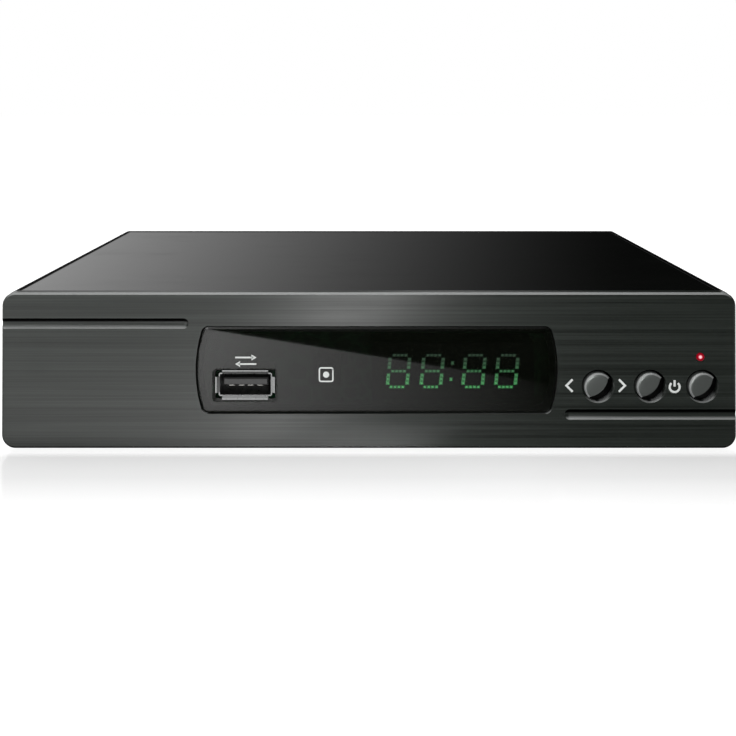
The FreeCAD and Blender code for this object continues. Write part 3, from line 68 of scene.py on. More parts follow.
def linear(value):
    """A 0 to 255 display value as a linear share, by the sRGB curve."""
    share = value / 255
    return share / 12.92 if share <= 0.04045 else ((share + 0.055) / 1.055) ** 2.4


def srgb(red, green, blue):
    """A colour given as 0 to 255 display values, as the linear RGBA that shaders take."""
    return tuple(linear(value) for value in (red, green, blue)) + (1.0,)


def grey(level):
    """A grey of one linear level, as RGBA."""
    return (level, level, level, 1.0)


# ---------------------------------------------------------------- shader building
# The places of a colour Mix node's sockets, several of which share a name.
MIX_SHARE, MIX_FIRST, MIX_SECOND, MIX_COLOUR = 0, 6, 7, 2


class Sheet:
    """A node tree with short ways to add and join nodes."""

    def __init__(self, tree):
        self.tree = tree

    def add(self, kind, **settings):
        """Adds a node of a kind, such as Math, with its settings."""
        node = self.tree.nodes.new("ShaderNode" + kind)
        for name, value in settings.items():
            setattr(node, name, value)
        return node

    def join(self, source, target):
        """Links one socket to another."""
        self.tree.links.new(source, target)

    def feed(self, target, value):
        """Puts a constant on a socket, or links another socket to it."""
        if isinstance(value, bpy.types.NodeSocket):
            self.join(value, target)
        else:
            target.default_value = value

    def math(self, operation, first, second=0.0, third=0.0, clamp=False):
        """Works out one sum of up to three values."""
        node = self.add("Math", operation=operation, use_clamp=clamp)
        for socket, value in zip(node.inputs, (first, second, third)):
            self.feed(socket, value)
        return node.outputs[0]

    def ramp(self, value, low, high, to_low=0.0, to_high=1.0, smooth=False):
        """Maps a value from one range to another, clamped."""
        node = self.add("MapRange", interpolation_type="SMOOTHSTEP" if smooth else "LINEAR")
        for socket, number in zip(node.inputs, (value, low, high, to_low, to_high)):
            self.feed(socket, number)
        return node.outputs[0]

    def blend(self, share, first, second):
        """Mixes two colours."""
        node = self.add("Mix", data_type="RGBA")
        self.feed(node.inputs[MIX_SHARE], share)
        self.feed(node.inputs[MIX_FIRST], first)
        self.feed(node.inputs[MIX_SECOND], second)
        return node.outputs[MIX_COLOUR]

    def place(self, scale=(1.0, 1.0, 1.0), turn=(0.0, 0.0, 0.0)):
        """The point on the object, in metres, stretched and turned."""
        coordinates = self.add("TexCoord")
        mapping = self.add("Mapping")
        mapping.inputs["Scale"].default_value = scale
        mapping.inputs["Rotation"].default_value = turn
        self.join(coordinates.outputs["Object"], mapping.inputs["Vector"])
        return mapping.outputs[0]

    def axes(self):
        """The point's X, Y and Z in millimetres."""
        split = self.add("SeparateXYZ")
        self.join(self.place((1 / MM, 1 / MM, 1 / MM)), split.inputs[0])
        return split.outputs

    def noise(self, where, scale, detail=2.0, roughness=0.5):
        """Cloudy noise, about 0 to 1."""
        node = self.add("TexNoise")
        self.feed(node.inputs["Vector"], where)
        node.inputs["Scale"].default_value = scale
        node.inputs["Detail"].default_value = detail
        node.inputs["Roughness"].default_value = roughness
        return node.outputs["Fac"]


def effect(name, inputs, outputs):
    """An empty node group with named sockets; returns its sheet and its two end nodes."""
    group = bpy.data.node_groups.new(name, "ShaderNodeTree")
    for label, value in inputs:
        socket = group.interface.new_socket(label, in_out="INPUT", socket_type="NodeSocketFloat")
        socket.default_value = value
    for label in outputs:
        group.interface.new_socket(label, in_out="OUTPUT", socket_type="NodeSocketFloat")
    given = group.nodes.new("NodeGroupInput")
    result = group.nodes.new("NodeGroupOutput")
    return Sheet(group), given.outputs, result.inputs


# The brushing's layers: stretch along X, Y and Z, noise roughness, and share of the whole shade.
HAIR_STREAKS = ((22.0, 900.0, 6500.0), 0.6, 0.3)
FINE_STREAKS = ((11.0, 900.0, 2300.0), 0.55, 0.42)
BROAD_STREAKS = ((5.0, 260.0, 620.0), 0.5, 0.28)
GRAIN_SCALE = 4200.0
CLOUD_SCALE = 34.0
WIPE_STRETCH = (30.0, 60.0, 60.0)
WIPE_TURN = (0.0, 0.35, 0.4)
WIPE_START, WIPE_FULL = 0.48, 0.75


def brushed_effect():
    """Long streaks along X, from hairlines to broad bands: a 0 to 1 shade and a bump height."""
    sheet, given, result = effect("Brushed streaks", [("Contrast", 1.0)], ["Shade", "Height"])
    layers = []
    for stretch, roughness, share in (HAIR_STREAKS, FINE_STREAKS, BROAD_STREAKS):
        layers.append((sheet.noise(sheet.place(stretch), 1.0, 2.0, roughness), share))
    hair, hair_share = layers[0]
    summed = sheet.math("MULTIPLY", hair, hair_share)
    for streaks, share in layers[1:]:
        summed = sheet.math("MULTIPLY_ADD", streaks, share, summed)
    stretched = sheet.math("MULTIPLY", sheet.math("SUBTRACT", summed, 0.5), given["Contrast"])
    sheet.join(sheet.math("ADD", stretched, 0.5, clamp=True), result["Shade"])
    sheet.join(hair, result["Height"])
    return sheet.tree


def grain_effect():
    """The fine even texture of moulded plastic or powder paint, with slow cloudy variation."""
    sheet, given, result = effect("Fine grain", [("Size", 1.0)], ["Height", "Cloud"])
    where = sheet.place()
    scaled = sheet.add("VectorMath", operation="SCALE")
    sheet.join(where, scaled.inputs[0])
    sheet.join(given["Size"], scaled.inputs["Scale"])
    sheet.join(sheet.noise(scaled.outputs[0], GRAIN_SCALE, 2.0, 0.5), result["Height"])
    sheet.join(sheet.noise(where, CLOUD_SCALE, 3.0, 0.55), result["Cloud"])
    return sheet.tree


def handling_effect():
    """Faint wipe marks and dust: a 0 to 1 mask."""
    sheet, given, result = effect("Handling marks", [("Amount", 1.0)], ["Mask"])
    wipes = sheet.noise(sheet.place(WIPE_STRETCH, WIPE_TURN), 1.0, 4.0, 0.65)
    mask = sheet.ramp(wipes, WIPE_START, WIPE_FULL, smooth=True)
    sheet.join(sheet.math("MULTIPLY", mask, given["Amount"]), result["Mask"])
    return sheet.tree


BRUSHED = brushed_effect()
GRAIN = grain_effect()
HANDLING = handling_effect()


class Finish(Sheet):
    """A material with one Principled shader."""

    def __init__(self, name, **settings):
        self.material = bpy.data.materials.new(name)
        self.material.use_nodes = True
        super().__init__(self.material.node_tree)
        self.shader = self.tree.nodes["Principled BSDF"]
        for label, value in settings.items():
            self.set(label.replace("_", " ").title().replace("Ior", "IOR"), value)

    def set(self, label, value):
        """Feeds one of the shader's own sockets."""
        self.feed(self.shader.inputs[label], value)

    def use(self, group, **values):
        """Places a shared effect with this finish's own values."""
        node = self.add("Group")
        node.node_tree = group
        for label, value in values.items():
            self.feed(node.inputs[label], value)
        return node.outputs

    def bump(self, height, strength, distance):
        """Raises the surface by a height. The distance is in metres."""
        node = self.add("Bump")
        node.inputs["Strength"].default_value = strength
        node.inputs["Distance"].default_value = distance
        self.join(height, node.inputs["Height"])
        self.set("Normal", node.outputs[0])

    def facing(self):
        """The way the surface faces on the object, as X, Y and Z."""
        split = self.add("SeparateXYZ")
        self.join(self.add("TexCoord").outputs["Normal"], split.inputs[0])
        return split.outputs

    def reach(self, x, z):
        """The distance in millimetres from an axis along Y through X and Z."""
        point = self.axes()
        dx = self.math("SUBTRACT", point["X"], x)
        dz = self.math("SUBTRACT", point["Z"], z)
        squares = self.math("MULTIPLY_ADD", dx, dx, self.math("MULTIPLY", dz, dz))
        return self.math("SQRT", squares)


# ---------------------------------------------------------------- finishes
def fascia_finish():
    """Brushed dark plastic: painted highlight on its upper edges, painted shade, nearly black, on
    faces that look downwards.
    """
    finish = Finish("Brushed fascia", anisotropic=0.92, anisotropic_rotation=0.15,
                    specular_ior_level=0.42)
    dark, light = srgb(11, 14, 11), srgb(42, 46, 43)
    edge_highlight_tone, under_shade_tone = srgb(122, 124, 123), srgb(2, 2, 2)
    streaks = finish.use(BRUSHED, Contrast=3.2)
    marks = finish.use(HANDLING, Amount=0.05)
    brushed = finish.blend(streaks["Shade"], dark, light)
    up = finish.facing()["Z"]
    # Slanting upper edges get a painted highlight. Faces that look straight up don't.
    edge = finish.math("MULTIPLY", finish.ramp(up, 0.42, 0.8), finish.ramp(up, 0.9995, 0.985))
    # Faces that look downwards get painted shade, nearly black.
    under_shade = finish.ramp(up, -0.1, -0.4)
    edge_highlighted = finish.blend(edge, brushed, edge_highlight_tone)
    finish.set("Base Color", finish.blend(under_shade, edge_highlighted, under_shade_tone))
    finish.set("Metallic", under_shade)
    rough = finish.ramp(streaks["Shade"], 0.0, 1.0, 0.45, 0.37)
    rough = finish.math("ADD", rough, marks["Mask"])
    finish.set("Roughness", finish.math("MULTIPLY_ADD", under_shade, 0.5, rough))
    finish.bump(streaks["Height"], 0.1, 0.00004)
    return finish.material


def window_finish():
    """Smoked glossy plastic that lets a third of the light through, with a duller rim."""
    finish = Finish("Smoked window", ior=1.49)
    grain = finish.use(GRAIN, Size=0.3)
    marks = finish.use(HANDLING, Amount=0.02)
    finish.set("Base Color", finish.blend(grain["Cloud"], srgb(5, 7, 4), srgb(10, 12, 8)))
    rim = finish.ramp(finish.facing()["Y"], -0.98, -0.9, 0.02, 0.4)
    finish.set("Roughness", finish.math("ADD", marks["Mask"], rim))
    finish.set("Alpha", finish.ramp(grain["Cloud"], 0.3, 0.7, 0.66, 0.68))
    return finish.material


def key_finish():
    """Satin plastic: a painted highlight on the rim round the face, painted shade, nearly black, on
    the scooped side.
    """
    finish = Finish("Satin keys", specular_ior_level=0.08)
    dark, light = srgb(72, 75, 73), srgb(90, 93, 91)
    rim_highlight_tone, scoop_shade_tone = srgb(138, 140, 139), srgb(4, 4, 4)
    grain = finish.use(GRAIN, Size=1.0)
    satin = finish.blend(grain["Cloud"], dark, light)
    way = finish.facing()
    # The rim slants: it looks neither straight ahead nor sideways. Its light tone is a painted
    # highlight.
    rim = finish.math("MULTIPLY", finish.ramp(way["Y"], -0.97, -0.85),
                      finish.ramp(way["Y"], -0.3, -0.45))
    # Faces of the scoop, which look down and to the right, get painted shade, nearly black.
    scooped = finish.ramp(finish.math("SUBTRACT", way["X"], way["Z"]), 0.2, 0.4)
    # The satin with the rim's painted highlight.
    bright = finish.blend(rim, satin, rim_highlight_tone)
    finish.set("Base Color", finish.blend(scooped, bright, scoop_shade_tone))
    finish.set("Metallic", finish.ramp(scooped, 0.0, 1.0, 0.55, 0.0))
    rough = finish.ramp(grain["Height"], 0.3, 0.7, 0.3, 0.38)
    finish.set("Roughness", finish.math("MULTIPLY_ADD", rim, 0.25, rough))
    finish.bump(grain["Height"], 0.05, 0.00002)
    return finish.material


# Where the cover's flat top ends at its sides, its rear edge in Y, and how far ahead of each the
# paint turns matt and takes painted shade, nearly black.
COVER_FLAT = 86.4
COVER_FLAT_BLUR = 0.2
COVER_REAR = 56.45
COVER_REAR_START, COVER_REAR_FULL = 4.5, 3.5


def cover_finish():
    """Satin paint that is matt along the folded edges, with painted shade there, nearly black."""
    finish = Finish("Black satin paint")
    dark, light, fold_shade_tone = srgb(7, 8, 7), srgb(11, 12, 11), srgb(1, 1, 1)
    grain = finish.use(GRAIN, Size=0.7)
    marks = finish.use(HANDLING, Amount=0.04)
    up = finish.facing()["Z"]
    point = finish.axes()
    side = finish.ramp(finish.math("ABSOLUTE", point["X"]),
                       COVER_FLAT - COVER_FLAT_BLUR, COVER_FLAT + COVER_FLAT_BLUR)
    rear = finish.ramp(point["Y"], COVER_REAR - COVER_REAR_START, COVER_REAR - COVER_REAR_FULL)
    bent = finish.ramp(up, 0.999, 0.995)
    # Along the folds the paint gets painted shade, nearly black.
    fold_shade = finish.math("MAXIMUM", bent, finish.math("MAXIMUM", side, rear))
    fold_shade = finish.math("MULTIPLY", fold_shade, finish.ramp(up, 0.2, 0.5))
    paint = finish.blend(grain["Cloud"], dark, light)
    finish.set("Base Color", finish.blend(fold_shade, paint, fold_shade_tone))
    finish.set("Metallic", fold_shade)
    gloss = finish.math("ADD", marks["Mask"], 0.17)
    finish.set("Roughness", finish.math("MULTIPLY_ADD", fold_shade, 0.8, gloss))
    finish.bump(grain["Height"], 0.04, 0.00002)
    return finish.material


def zinc_finish():
    """Spangled zinc coat of the chassis sheet."""
    finish = Finish("Zinc-coated sheet", metallic=1.0)
    dark, light = srgb(150, 152, 153), srgb(176, 178, 178)
    cells = finish.add("TexVoronoi")
    cells.inputs["Scale"].default_value = 190.0
    finish.join(finish.place((1.0, 1.0, 0.75)), cells.inputs["Vector"])
    tone = finish.add("SeparateColor")
    finish.join(cells.outputs["Color"], tone.inputs[0])
    grain = finish.use(GRAIN, Size=0.8)
    finish.set("Base Color", finish.blend(tone.outputs[0], dark, light))
    finish.set("Roughness", finish.ramp(tone.outputs[1], 0.0, 1.0, 0.34, 0.5))
    finish.bump(grain["Height"], 0.08, 0.00002)
    return finish.material


def grained_finish(name, dark, light, roughness, size=1.0, strength=0.1, metallic=0.0):
    """A plain material that still has a fine grain, cloudy tone and uneven gloss."""
    finish = Finish(name, metallic=metallic)
    grain = finish.use(GRAIN, Size=size)
    finish.set("Base Color", finish.blend(grain["Cloud"], srgb(*dark), srgb(*light)))
    rough = finish.ramp(grain["Height"], 0.3, 0.7, roughness - 0.04, roughness + 0.05)
    finish.set("Roughness", rough)
    finish.bump(grain["Height"], strength, 0.00003)
    return finish.material


def glow_finish(name, dim, bright, strength):
    """A lit plastic: brighter low down than high up."""
    finish = Finish(name, roughness=0.4, emission_strength=strength)
    low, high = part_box("display_segments")
    rise = finish.ramp(finish.axes()["Z"], low.z / MM, high.z / MM, 1.0, 0.0, smooth=True)
    tone = finish.blend(rise, srgb(*dim), srgb(*bright))
    finish.set("Base Color", tone)
    finish.set("Emission Color", tone)
    return finish.material


LAMP_CORE_REACH = 0.6


def lamp_finish():
    """A red lamp with a pale core."""
    finish = Finish("Red lamp", roughness=0.15, emission_strength=0.9)
    centre = middle("standby_led")
    distance = finish.reach(centre.x, centre.z)
    core = finish.ramp(distance, 0.0, LAMP_CORE_REACH, 1.0, 0.0, smooth=True)
    tone = finish.blend(core, srgb(104, 2, 16), srgb(255, 170, 178))
    finish.set("Base Color", tone)
    finish.set("Emission Color", tone)
    return finish.material


def board_finish():
    """Green solder lacquer over a faint pattern of copper tracks."""
    finish = Finish("Green board", roughness=0.35)
    cells = finish.add("TexVoronoi", distance="MANHATTAN", feature="DISTANCE_TO_EDGE")
    cells.inputs["Scale"].default_value = 260.0
    finish.join(finish.place(), cells.inputs["Vector"])
    tracks = finish.ramp(cells.outputs[0], 0.06, 0.1)
    finish.set("Base Color", finish.blend(tracks, srgb(30, 110, 62), srgb(14, 70, 38)))
    finish.bump(tracks, 0.1, 0.00003)
    return finish.material


# Slot: name, darker tone, lighter tone, roughness, grain size, bump strength, metallic.
GRAINED_FINISHES = {
    "display_black": ("Display black", (4, 4, 4), (8, 8, 8), 0.6, 1.0, 0.1, 0.0),
    "foot_rubber": ("Foot rubber", (20, 20, 20), (30, 30, 30), 0.8, 0.6, 0.3, 0.0),
    "screw_steel": ("Black screws", (34, 34, 34), (52, 52, 52), 0.35, 1.0, 0.1, 1.0),
    "inner_screw_steel": ("Zinc screws", (165, 165, 160), (190, 190, 186), 0.3, 1.0, 0.1, 1.0),
    "part_black": ("Moulded black", (20, 20, 20), (30, 30, 30), 0.5, 0.8, 0.2, 0.0),
    "tin_plate": ("Tin plate", (170, 172, 172), (196, 197, 196), 0.28, 0.5, 0.1, 1.0),
    "nickel_plate": ("Nickel plate", (178, 176, 170), (204, 202, 196), 0.2, 0.4, 0.1, 1.0),
    "contact_gold": ("Gold contacts", (196, 160, 84), (222, 186, 106), 0.25, 0.5, 0.1, 1.0),
    "port_plastic": ("Header plastic", (214, 212, 204), (230, 228, 221), 0.5, 1.0, 0.1, 0.0),
    "white_insulator": ("White insulator", (220, 220, 215), (235, 235, 231), 0.45, 1.0, 0.1, 0.0),
    "orange_insert": ("Orange insert", (208, 98, 24), (228, 116, 34), 0.4, 1.0, 0.1, 0.0),
    "heatsink_aluminium": ("Heatsink", (158, 160, 163), (180, 182, 185), 0.4, 1.0, 0.1, 1.0),
    "can_aluminium": ("Capacitor sleeve", (32, 34, 52), (44, 46, 66), 0.35, 1.0, 0.1, 0.0),
    "pad_grey": ("Thermal pad", (120, 130, 140), (138, 148, 158), 0.8, 1.0, 0.1, 0.0),
    "ribbon_plastic": ("Ribbon", (186, 187, 190), (204, 205, 208), 0.45, 1.0, 0.1, 0.0),
}
# The same for the two nodes of the port whose metal is duller than other plating.
PORT_FINISHES = {
    "usb_shell": ("Port steel", (112, 113, 113), (128, 129, 128), 0.3, 0.5, 0.1, 1.0),
    "usb_contacts": ("Port contacts", (150, 150, 146), (172, 172, 168), 0.3, 0.5, 0.1, 0.8),
}


def finishes():
    """Each of the record's material slots and its look."""
    looks = {
        "fascia_plastic": fascia_finish(),
        "window_plastic": window_finish(),
        "key_plastic": key_finish(),
        "lamp_red": lamp_finish(),
        "display_light": glow_finish("Display light", (0, 24, 12), (0, 78, 38), 1.0),
        "cover_paint": cover_finish(),
        "chassis_steel": zinc_finish(),
        "board_green": board_finish(),
    }
    for slot, values in GRAINED_FINISHES.items():
        looks[slot] = grained_finish(*values)
    return looks


def dress_nodes():
    """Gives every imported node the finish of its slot, or its own one in the port."""
    looks = finishes()
    port = {node: grained_finish(*values) for node, values in PORT_FINISHES.items()}
    for part in frame["record"]["subparts"]:
        node = NODES[part["node"]]
        node.data.materials.clear()
        node.data.materials.append(port.get(part["node"], looks[part["material_slot"]]))
    return looks


# ---------------------------------------------------------------- forms
WELD_REACH = 1e-7


class Form:
    """Points and faces gathered for one mesh. Points are (x, depth, z) in millimetres."""

    def __init__(self):
        self.points = []
        self.faces = []

    def add(self, points, faces):
        """Adds points, and faces that count from the first of them."""
        first = len(self.points)
        self.points += points
        self.faces += [[first + n for n in face] for face in faces]

    def rings(self, loops, close_start=True, close_end=True):
        """Joins loops of equal length into a skin, with flat ends."""
        count = len(loops[0])
        faces = []
        for level in range(len(loops) - 1):
            low = level * count
            for n in range(count):
                after = (n + 1) % count
                faces.append([low + n, low + after, low + count + after, low + count + n])
        if close_start:
            faces.append(list(range(count))[::-1])
        if close_end:
            last = (len(loops) - 1) * count
            faces.append([last + n for n in range(count)])
        self.add([point for loop in loops for point in loop], faces)

    def plate(self, outline, front, back):
        """An (x, z) outline between two depths."""
        self.rings([[(x, depth, z) for x, z in outline] for depth in (front, back)])

    def turned(self, x, z, profile, sides):
        """A profile of (radius, depth) points about an axis along Y."""
        loops = []
        for radius, depth in profile:
            loop = []
            for n in range(sides):
                angle = 2 * math.pi * n / sides
                loop.append((x + radius * math.cos(angle), depth, z + radius * math.sin(angle)))
            loops.append(loop)
        self.rings(loops)

    def mesh(self, name):
        """The form as a mesh in metres, in its place on the object."""
        mesh = bpy.data.meshes.new(name)
        points = [(x * MM, (FRONT_MM + depth) * MM, z * MM) for x, depth, z in self.points]
        mesh.from_pydata(points, [], self.faces)
        return mesh


def cleaned(mesh, weld=False, outward=True):
    """The same mesh with doubled points welded, its faces turned outwards, or both."""
    work = bmesh.new()
    work.from_mesh(mesh)
    if weld:
        bmesh.ops.remove_doubles(work, verts=work.verts, dist=WELD_REACH)
    if outward:
        bmesh.ops.recalc_face_normals(work, faces=work.faces)
    work.to_mesh(mesh)
    work.free()
    return mesh


def make_piece(name, mesh, look, body="root", replaces=(), sharp=35.0):
    """Turns a mesh into an object that rides on a body. Edges above an angle stay sharp."""
    cleaned(mesh)
    mesh.shade_smooth()
    mesh.set_sharp_from_angle(angle=math.radians(sharp))
    mesh.materials.append(look)
    piece = bpy.data.objects.new(name, mesh)
    bpy.context.collection.objects.link(piece)
    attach(piece, body)
    if replaces:
        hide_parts(*replaces)


def arc_points(x, z, radius, start, end, steps):
    """Points on a circle between two angles in degrees."""
    points = []
    for n in range(steps + 1):
        angle = math.radians(start + (end - start) * n / steps)
        points.append((x + radius * math.cos(angle), z + radius * math.sin(angle)))
    return points


def circle_ring(x, z, radius, depth, sides):
    """A whole circle at one depth."""
    points = arc_points(x, z, radius, 0, 360 - 360 / sides, sides - 1)
    return [(px, depth, pz) for px, pz in points]


def rectangle(x, z, half_width, half_height):
    """The corners of a rectangle about a middle."""
    return [
        (x - half_width, z - half_height),
        (x + half_width, z - half_height),
        (x + half_width, z + half_height),
        (x - half_width, z + half_height),
    ]


SHORTEST_MITRE = 0.3


def stroke(points, width):
    """The outline of a line of one width along open (x, z) points, with mitred turns."""
    left = []
    right = []
    for n, (x, z) in enumerate(points):
        before = Vector(points[max(n - 1, 0)])
        after = Vector(points[min(n + 1, len(points) - 1)])
        here = Vector((x, z))
        into = (here - before).normalized() if n > 0 else (after - here).normalized()
        out = (after - here).normalized() if n < len(points) - 1 else into
        across = Vector((-into.y - out.y, into.x + out.x)).normalized()
        reach = width / 2 / max(across.dot(Vector((-into.y, into.x))), SHORTEST_MITRE)
        left.append(tuple(here + across * reach))
        right.append(tuple(here - across * reach))
    return left + right[::-1]


# ---------------------------------------------------------------- display window
WINDOW_X = 1.9
WINDOW_Z = 20.0
WINDOW_HALF_WIDTH = 44.3
WINDOW_HALF_HEIGHT = 10.65
WINDOW_BOW = 1.8
WINDOW_CORNER = 1.8
WINDOW_CORNER_STEPS = 9
WINDOW_BOW_STEPS = 20
WINDOW_FACE = 0.25
WINDOW_BACK = 1.5
WINDOW_EDGE = ((0.0, 0.72), (0.22, 0.46), (0.7, WINDOW_FACE))  # inset and depth
WINDOW_SHARP = 14.0
PORT_X = -30.4
PORT_Z = 16.2
PORT_HALF_WIDTH = 7.3
PORT_HALF_HEIGHT = 3.4
PORT_CORNER = 0.35
PORT_CORNER_STEPS = 8
PORT_BEVEL = 0.7
# Growth and depth of the opening, from the window's back to its face.
PORT_EDGE = ((0.0, WINDOW_BACK), (0.0, 0.9), (0.06, 0.8), (0.62, 0.3), (PORT_BEVEL, WINDOW_FACE))


def window_outline(inset):
    """Straight top and bottom, bulging ends and round corners, drawn in by inset."""
    width = WINDOW_HALF_WIDTH - inset
    height = WINDOW_HALF_HEIGHT - inset
    corner = WINDOW_CORNER - inset
    swing = (WINDOW_HALF_HEIGHT ** 2 + WINDOW_BOW ** 2) / (2 * WINDOW_BOW) - inset
    centre = width - swing
    corner_z = height - corner
    corner_x = centre + math.sqrt((swing - corner) ** 2 - corner_z ** 2)
    meet = math.degrees(math.atan2(corner_z, corner_x - centre))
    right = arc_points(corner_x, -corner_z, corner, -90, -meet, WINDOW_CORNER_STEPS)
    right += arc_points(centre, 0, swing, -meet, meet, WINDOW_BOW_STEPS)[1:-1]
    right += arc_points(corner_x, corner_z, corner, meet, 90, WINDOW_CORNER_STEPS)
    outline = right + [(-x, -z) for x, z in right]
    return [(WINDOW_X + x, WINDOW_Z + z) for x, z in outline]


def port_outline(grow):
    """The rounded rectangle of the port's opening, let out by grow."""
    radius = PORT_CORNER + grow
    x = PORT_HALF_WIDTH + grow - radius
    z = PORT_HALF_HEIGHT + grow - radius
    points = []
    for side_x, side_z, start in ((1, -1, -90), (1, 1, 0), (-1, 1, 90), (-1, -1, 180)):
        points += arc_points(PORT_X + side_x * x, PORT_Z + side_z * z, radius,
                             start, start + 90, PORT_CORNER_STEPS)
    return points


def flat_ring(form, outer, inner, depth):
    """The flat face between two outlines."""
    loops = [[Vector((x, z, 0.0)) for x, z in outline] for outline in (outer, inner)]
    points = [(x, depth, z) for x, z in outer + inner]
    form.add(points, [list(face) for face in tessellate_polygon(loops)])


def make_window(look):
    """The smoked window, with a rolled rim and a bevel round the port's opening."""
    form = Form()
    levels = ((0.0, WINDOW_BACK),) + WINDOW_EDGE
    rim = [[(x, depth, z) for x, z in window_outline(inset)] for inset, depth in levels]
    form.rings(rim, close_start=False, close_end=False)
    opening = [[(x, depth, z) for x, z in port_outline(grow)] for grow, depth in PORT_EDGE]
    form.rings(opening, close_start=False, close_end=False)
    flat_ring(form, window_outline(WINDOW_EDGE[-1][0]), port_outline(PORT_BEVEL), WINDOW_FACE)
    flat_ring(form, window_outline(0.0), port_outline(0.0), WINDOW_BACK)
    mesh = cleaned(form.mesh("display_window_shaped"), weld=True, outward=False)
    make_piece("display_window_shaped", mesh, look, "root",
               ["display_window"], WINDOW_SHARP)


# ---------------------------------------------------------------- display
DISPLAY_X = 20.7
DISPLAY_Z = 19.3
DIGIT_X = (-13.4, -5.1, 5.2, 13.3)
DIGIT_HALF_WIDTH = 2.4
DIGIT_HALF_HEIGHT = 3.9
DIGIT_SLANT = 0.1
DOT_DEPTHS = (1.6, 1.7)
DOT_CUT = 0.3
LYING_DOTS = (-1.44, -0.48, 0.48, 1.44)
LYING_DOT_SIZE = (0.4, 0.3)
STANDING_DOTS = (-0.95, 0.0, 0.95)
STANDING_DOT_SIZE = (0.5, 0.4)
COLON_X = -0.3
COLON_RISE = 2.0
COLON_DOT_SIZE = (0.4, 0.4)


def dot(form, x, z, half_width, half_height):
    """One lit dot: a small pad with cut corners, leaning with the digits."""
    cut = DOT_CUT * min(half_width, half_height)
    corners = []
    for side_x, side_z in ((1, -1), (1, 1), (-1, 1), (-1, -1)):
        ends = [(half_width - cut, half_height), (half_width, half_height - cut)]
        if side_x != side_z:
            ends.reverse()
        corners += [(side_x * dx, side_z * dz) for dx, dz in ends]
    placed = []
    for dx, dz in corners:
        rise = z + dz
        placed.append((DISPLAY_X + x + dx + DIGIT_SLANT * rise, DISPLAY_Z + rise))
    form.plate(placed, *DOT_DEPTHS)


def make_display_dots(look):
    """Four digits of seven dotted segments each, and the colon."""
    form = Form()
    for digit_x in DIGIT_X:
        for level in (-1, 0, 1):
            for dx in LYING_DOTS:
                dot(form, digit_x + dx, level * DIGIT_HALF_HEIGHT, *LYING_DOT_SIZE)
        for side in (-1, 1):
            x = digit_x + side * DIGIT_HALF_WIDTH
            for level in (-1, 1):
                for dz in STANDING_DOTS:
                    dot(form, x, level * DIGIT_HALF_HEIGHT / 2 + dz, *STANDING_DOT_SIZE)
    for level in (-1, 1):
        dot(form, COLON_X, level * COLON_RISE, *COLON_DOT_SIZE)
    make_piece("display_dots", form.mesh("display_dots"), look, "root")


# ---------------------------------------------------------------- keys
KEYS = (("previous", 56.1), ("next", 68.85), ("power", 81.65))
KEY_Z = 16.0
KEY_PROFILE = (  # radius and depth
    (0.0, -1.1),
    (1.6, -1.09),
    (2.6, -1.06),
    (3.0, -1.02),
    (3.15, -0.95),
    (3.28, -0.83),
    (3.45, -0.6),
    (3.5, -0.45),
    (3.5, 5.6),
    (0.0, 5.6),
)
KEY_SIDES = 96
KEY_SHARP = 30.0
# The scoop takes away what lies outside a cone, whose axis is above and left of the key's middle.
SCOOP_SHIFT = 2.8
SCOOP_SIDES = 2 * KEY_SIDES
SCOOP_PROFILE = ((4.15, -2.1), (7.465, 1.8), (12.0, 1.8), (12.0, -2.1), (4.15, -2.1))
# Half width and half height, then front and back depths.
KEY_BAR = ((1.8, 4.7), (5.4, 6.4))
KEY_STEM = ((1.5, 1.5), (5.4, 7.0))


def closed_mesh(name, form):
    """A form as a closed mesh with its faces turned outwards."""
    return cleaned(form.mesh(name), weld=True)


def carved(mesh, cutter):
    """A mesh less another one."""
    things = [bpy.data.objects.new(part.name, part) for part in (mesh, cutter)]
    for thing in things:
        bpy.context.collection.objects.link(thing)
    cut = things[0].modifiers.new("cut", "BOOLEAN")
    cut.operation = "DIFFERENCE"
    cut.object = things[1]
    graph = bpy.context.evaluated_depsgraph_get()
    result = bpy.data.meshes.new_from_object(things[0].evaluated_get(graph))
    for thing in things:
        bpy.data.objects.remove(thing)
    return result


def make_key(name, x, look):
    """A round key with a bevelled rim, scooped away at its lower right, its cross bar and stem."""
    cap = Form()
    cap.turned(x, KEY_Z, KEY_PROFILE, KEY_SIDES)
    scoop = Form()
    scoop.rings([circle_ring(x - SCOOP_SHIFT, KEY_Z + SCOOP_SHIFT, radius, depth, SCOOP_SIDES)
                 for radius, depth in SCOOP_PROFILE], close_start=False, close_end=False)
    head = carved(closed_mesh("key_cap", cap), closed_mesh("key_scoop", scoop))
    back = Form()
    for half_sizes, depths in (KEY_BAR, KEY_STEM):
        back.plate(rectangle(x, KEY_Z, *half_sizes), *depths)
    whole = bmesh.new()
    whole.from_mesh(head)
    whole.from_mesh(closed_mesh("key_back", back))
    mesh = bpy.data.meshes.new(name + "_key_cap")
    whole.to_mesh(mesh)
    whole.free()
    make_piece(name + "_key_cap", mesh, look, name + "_key",
               [name + "_button"], KEY_SHARP)


# ---------------------------------------------------------------- printed marks
PRINT_THICK = 0.03
PRINT_SUNK = 0.01
MARK_STROKE = 0.52
MARK_MIDDLE_Z = 16.2
PREVIOUS_MARK_X = 49.1
NEXT_MARK_X = 61.95
CHEVRON_REACH = 0.75
CHEVRON_RISE = 1.5
POWER_MARK = (74.85, 15.85)
ON_OFF_RADIUS = 1.22
ON_OFF_SWEEP = (130, 410)
ON_OFF_STEPS = 28
ON_OFF_BAR = (1.65, 0.1)
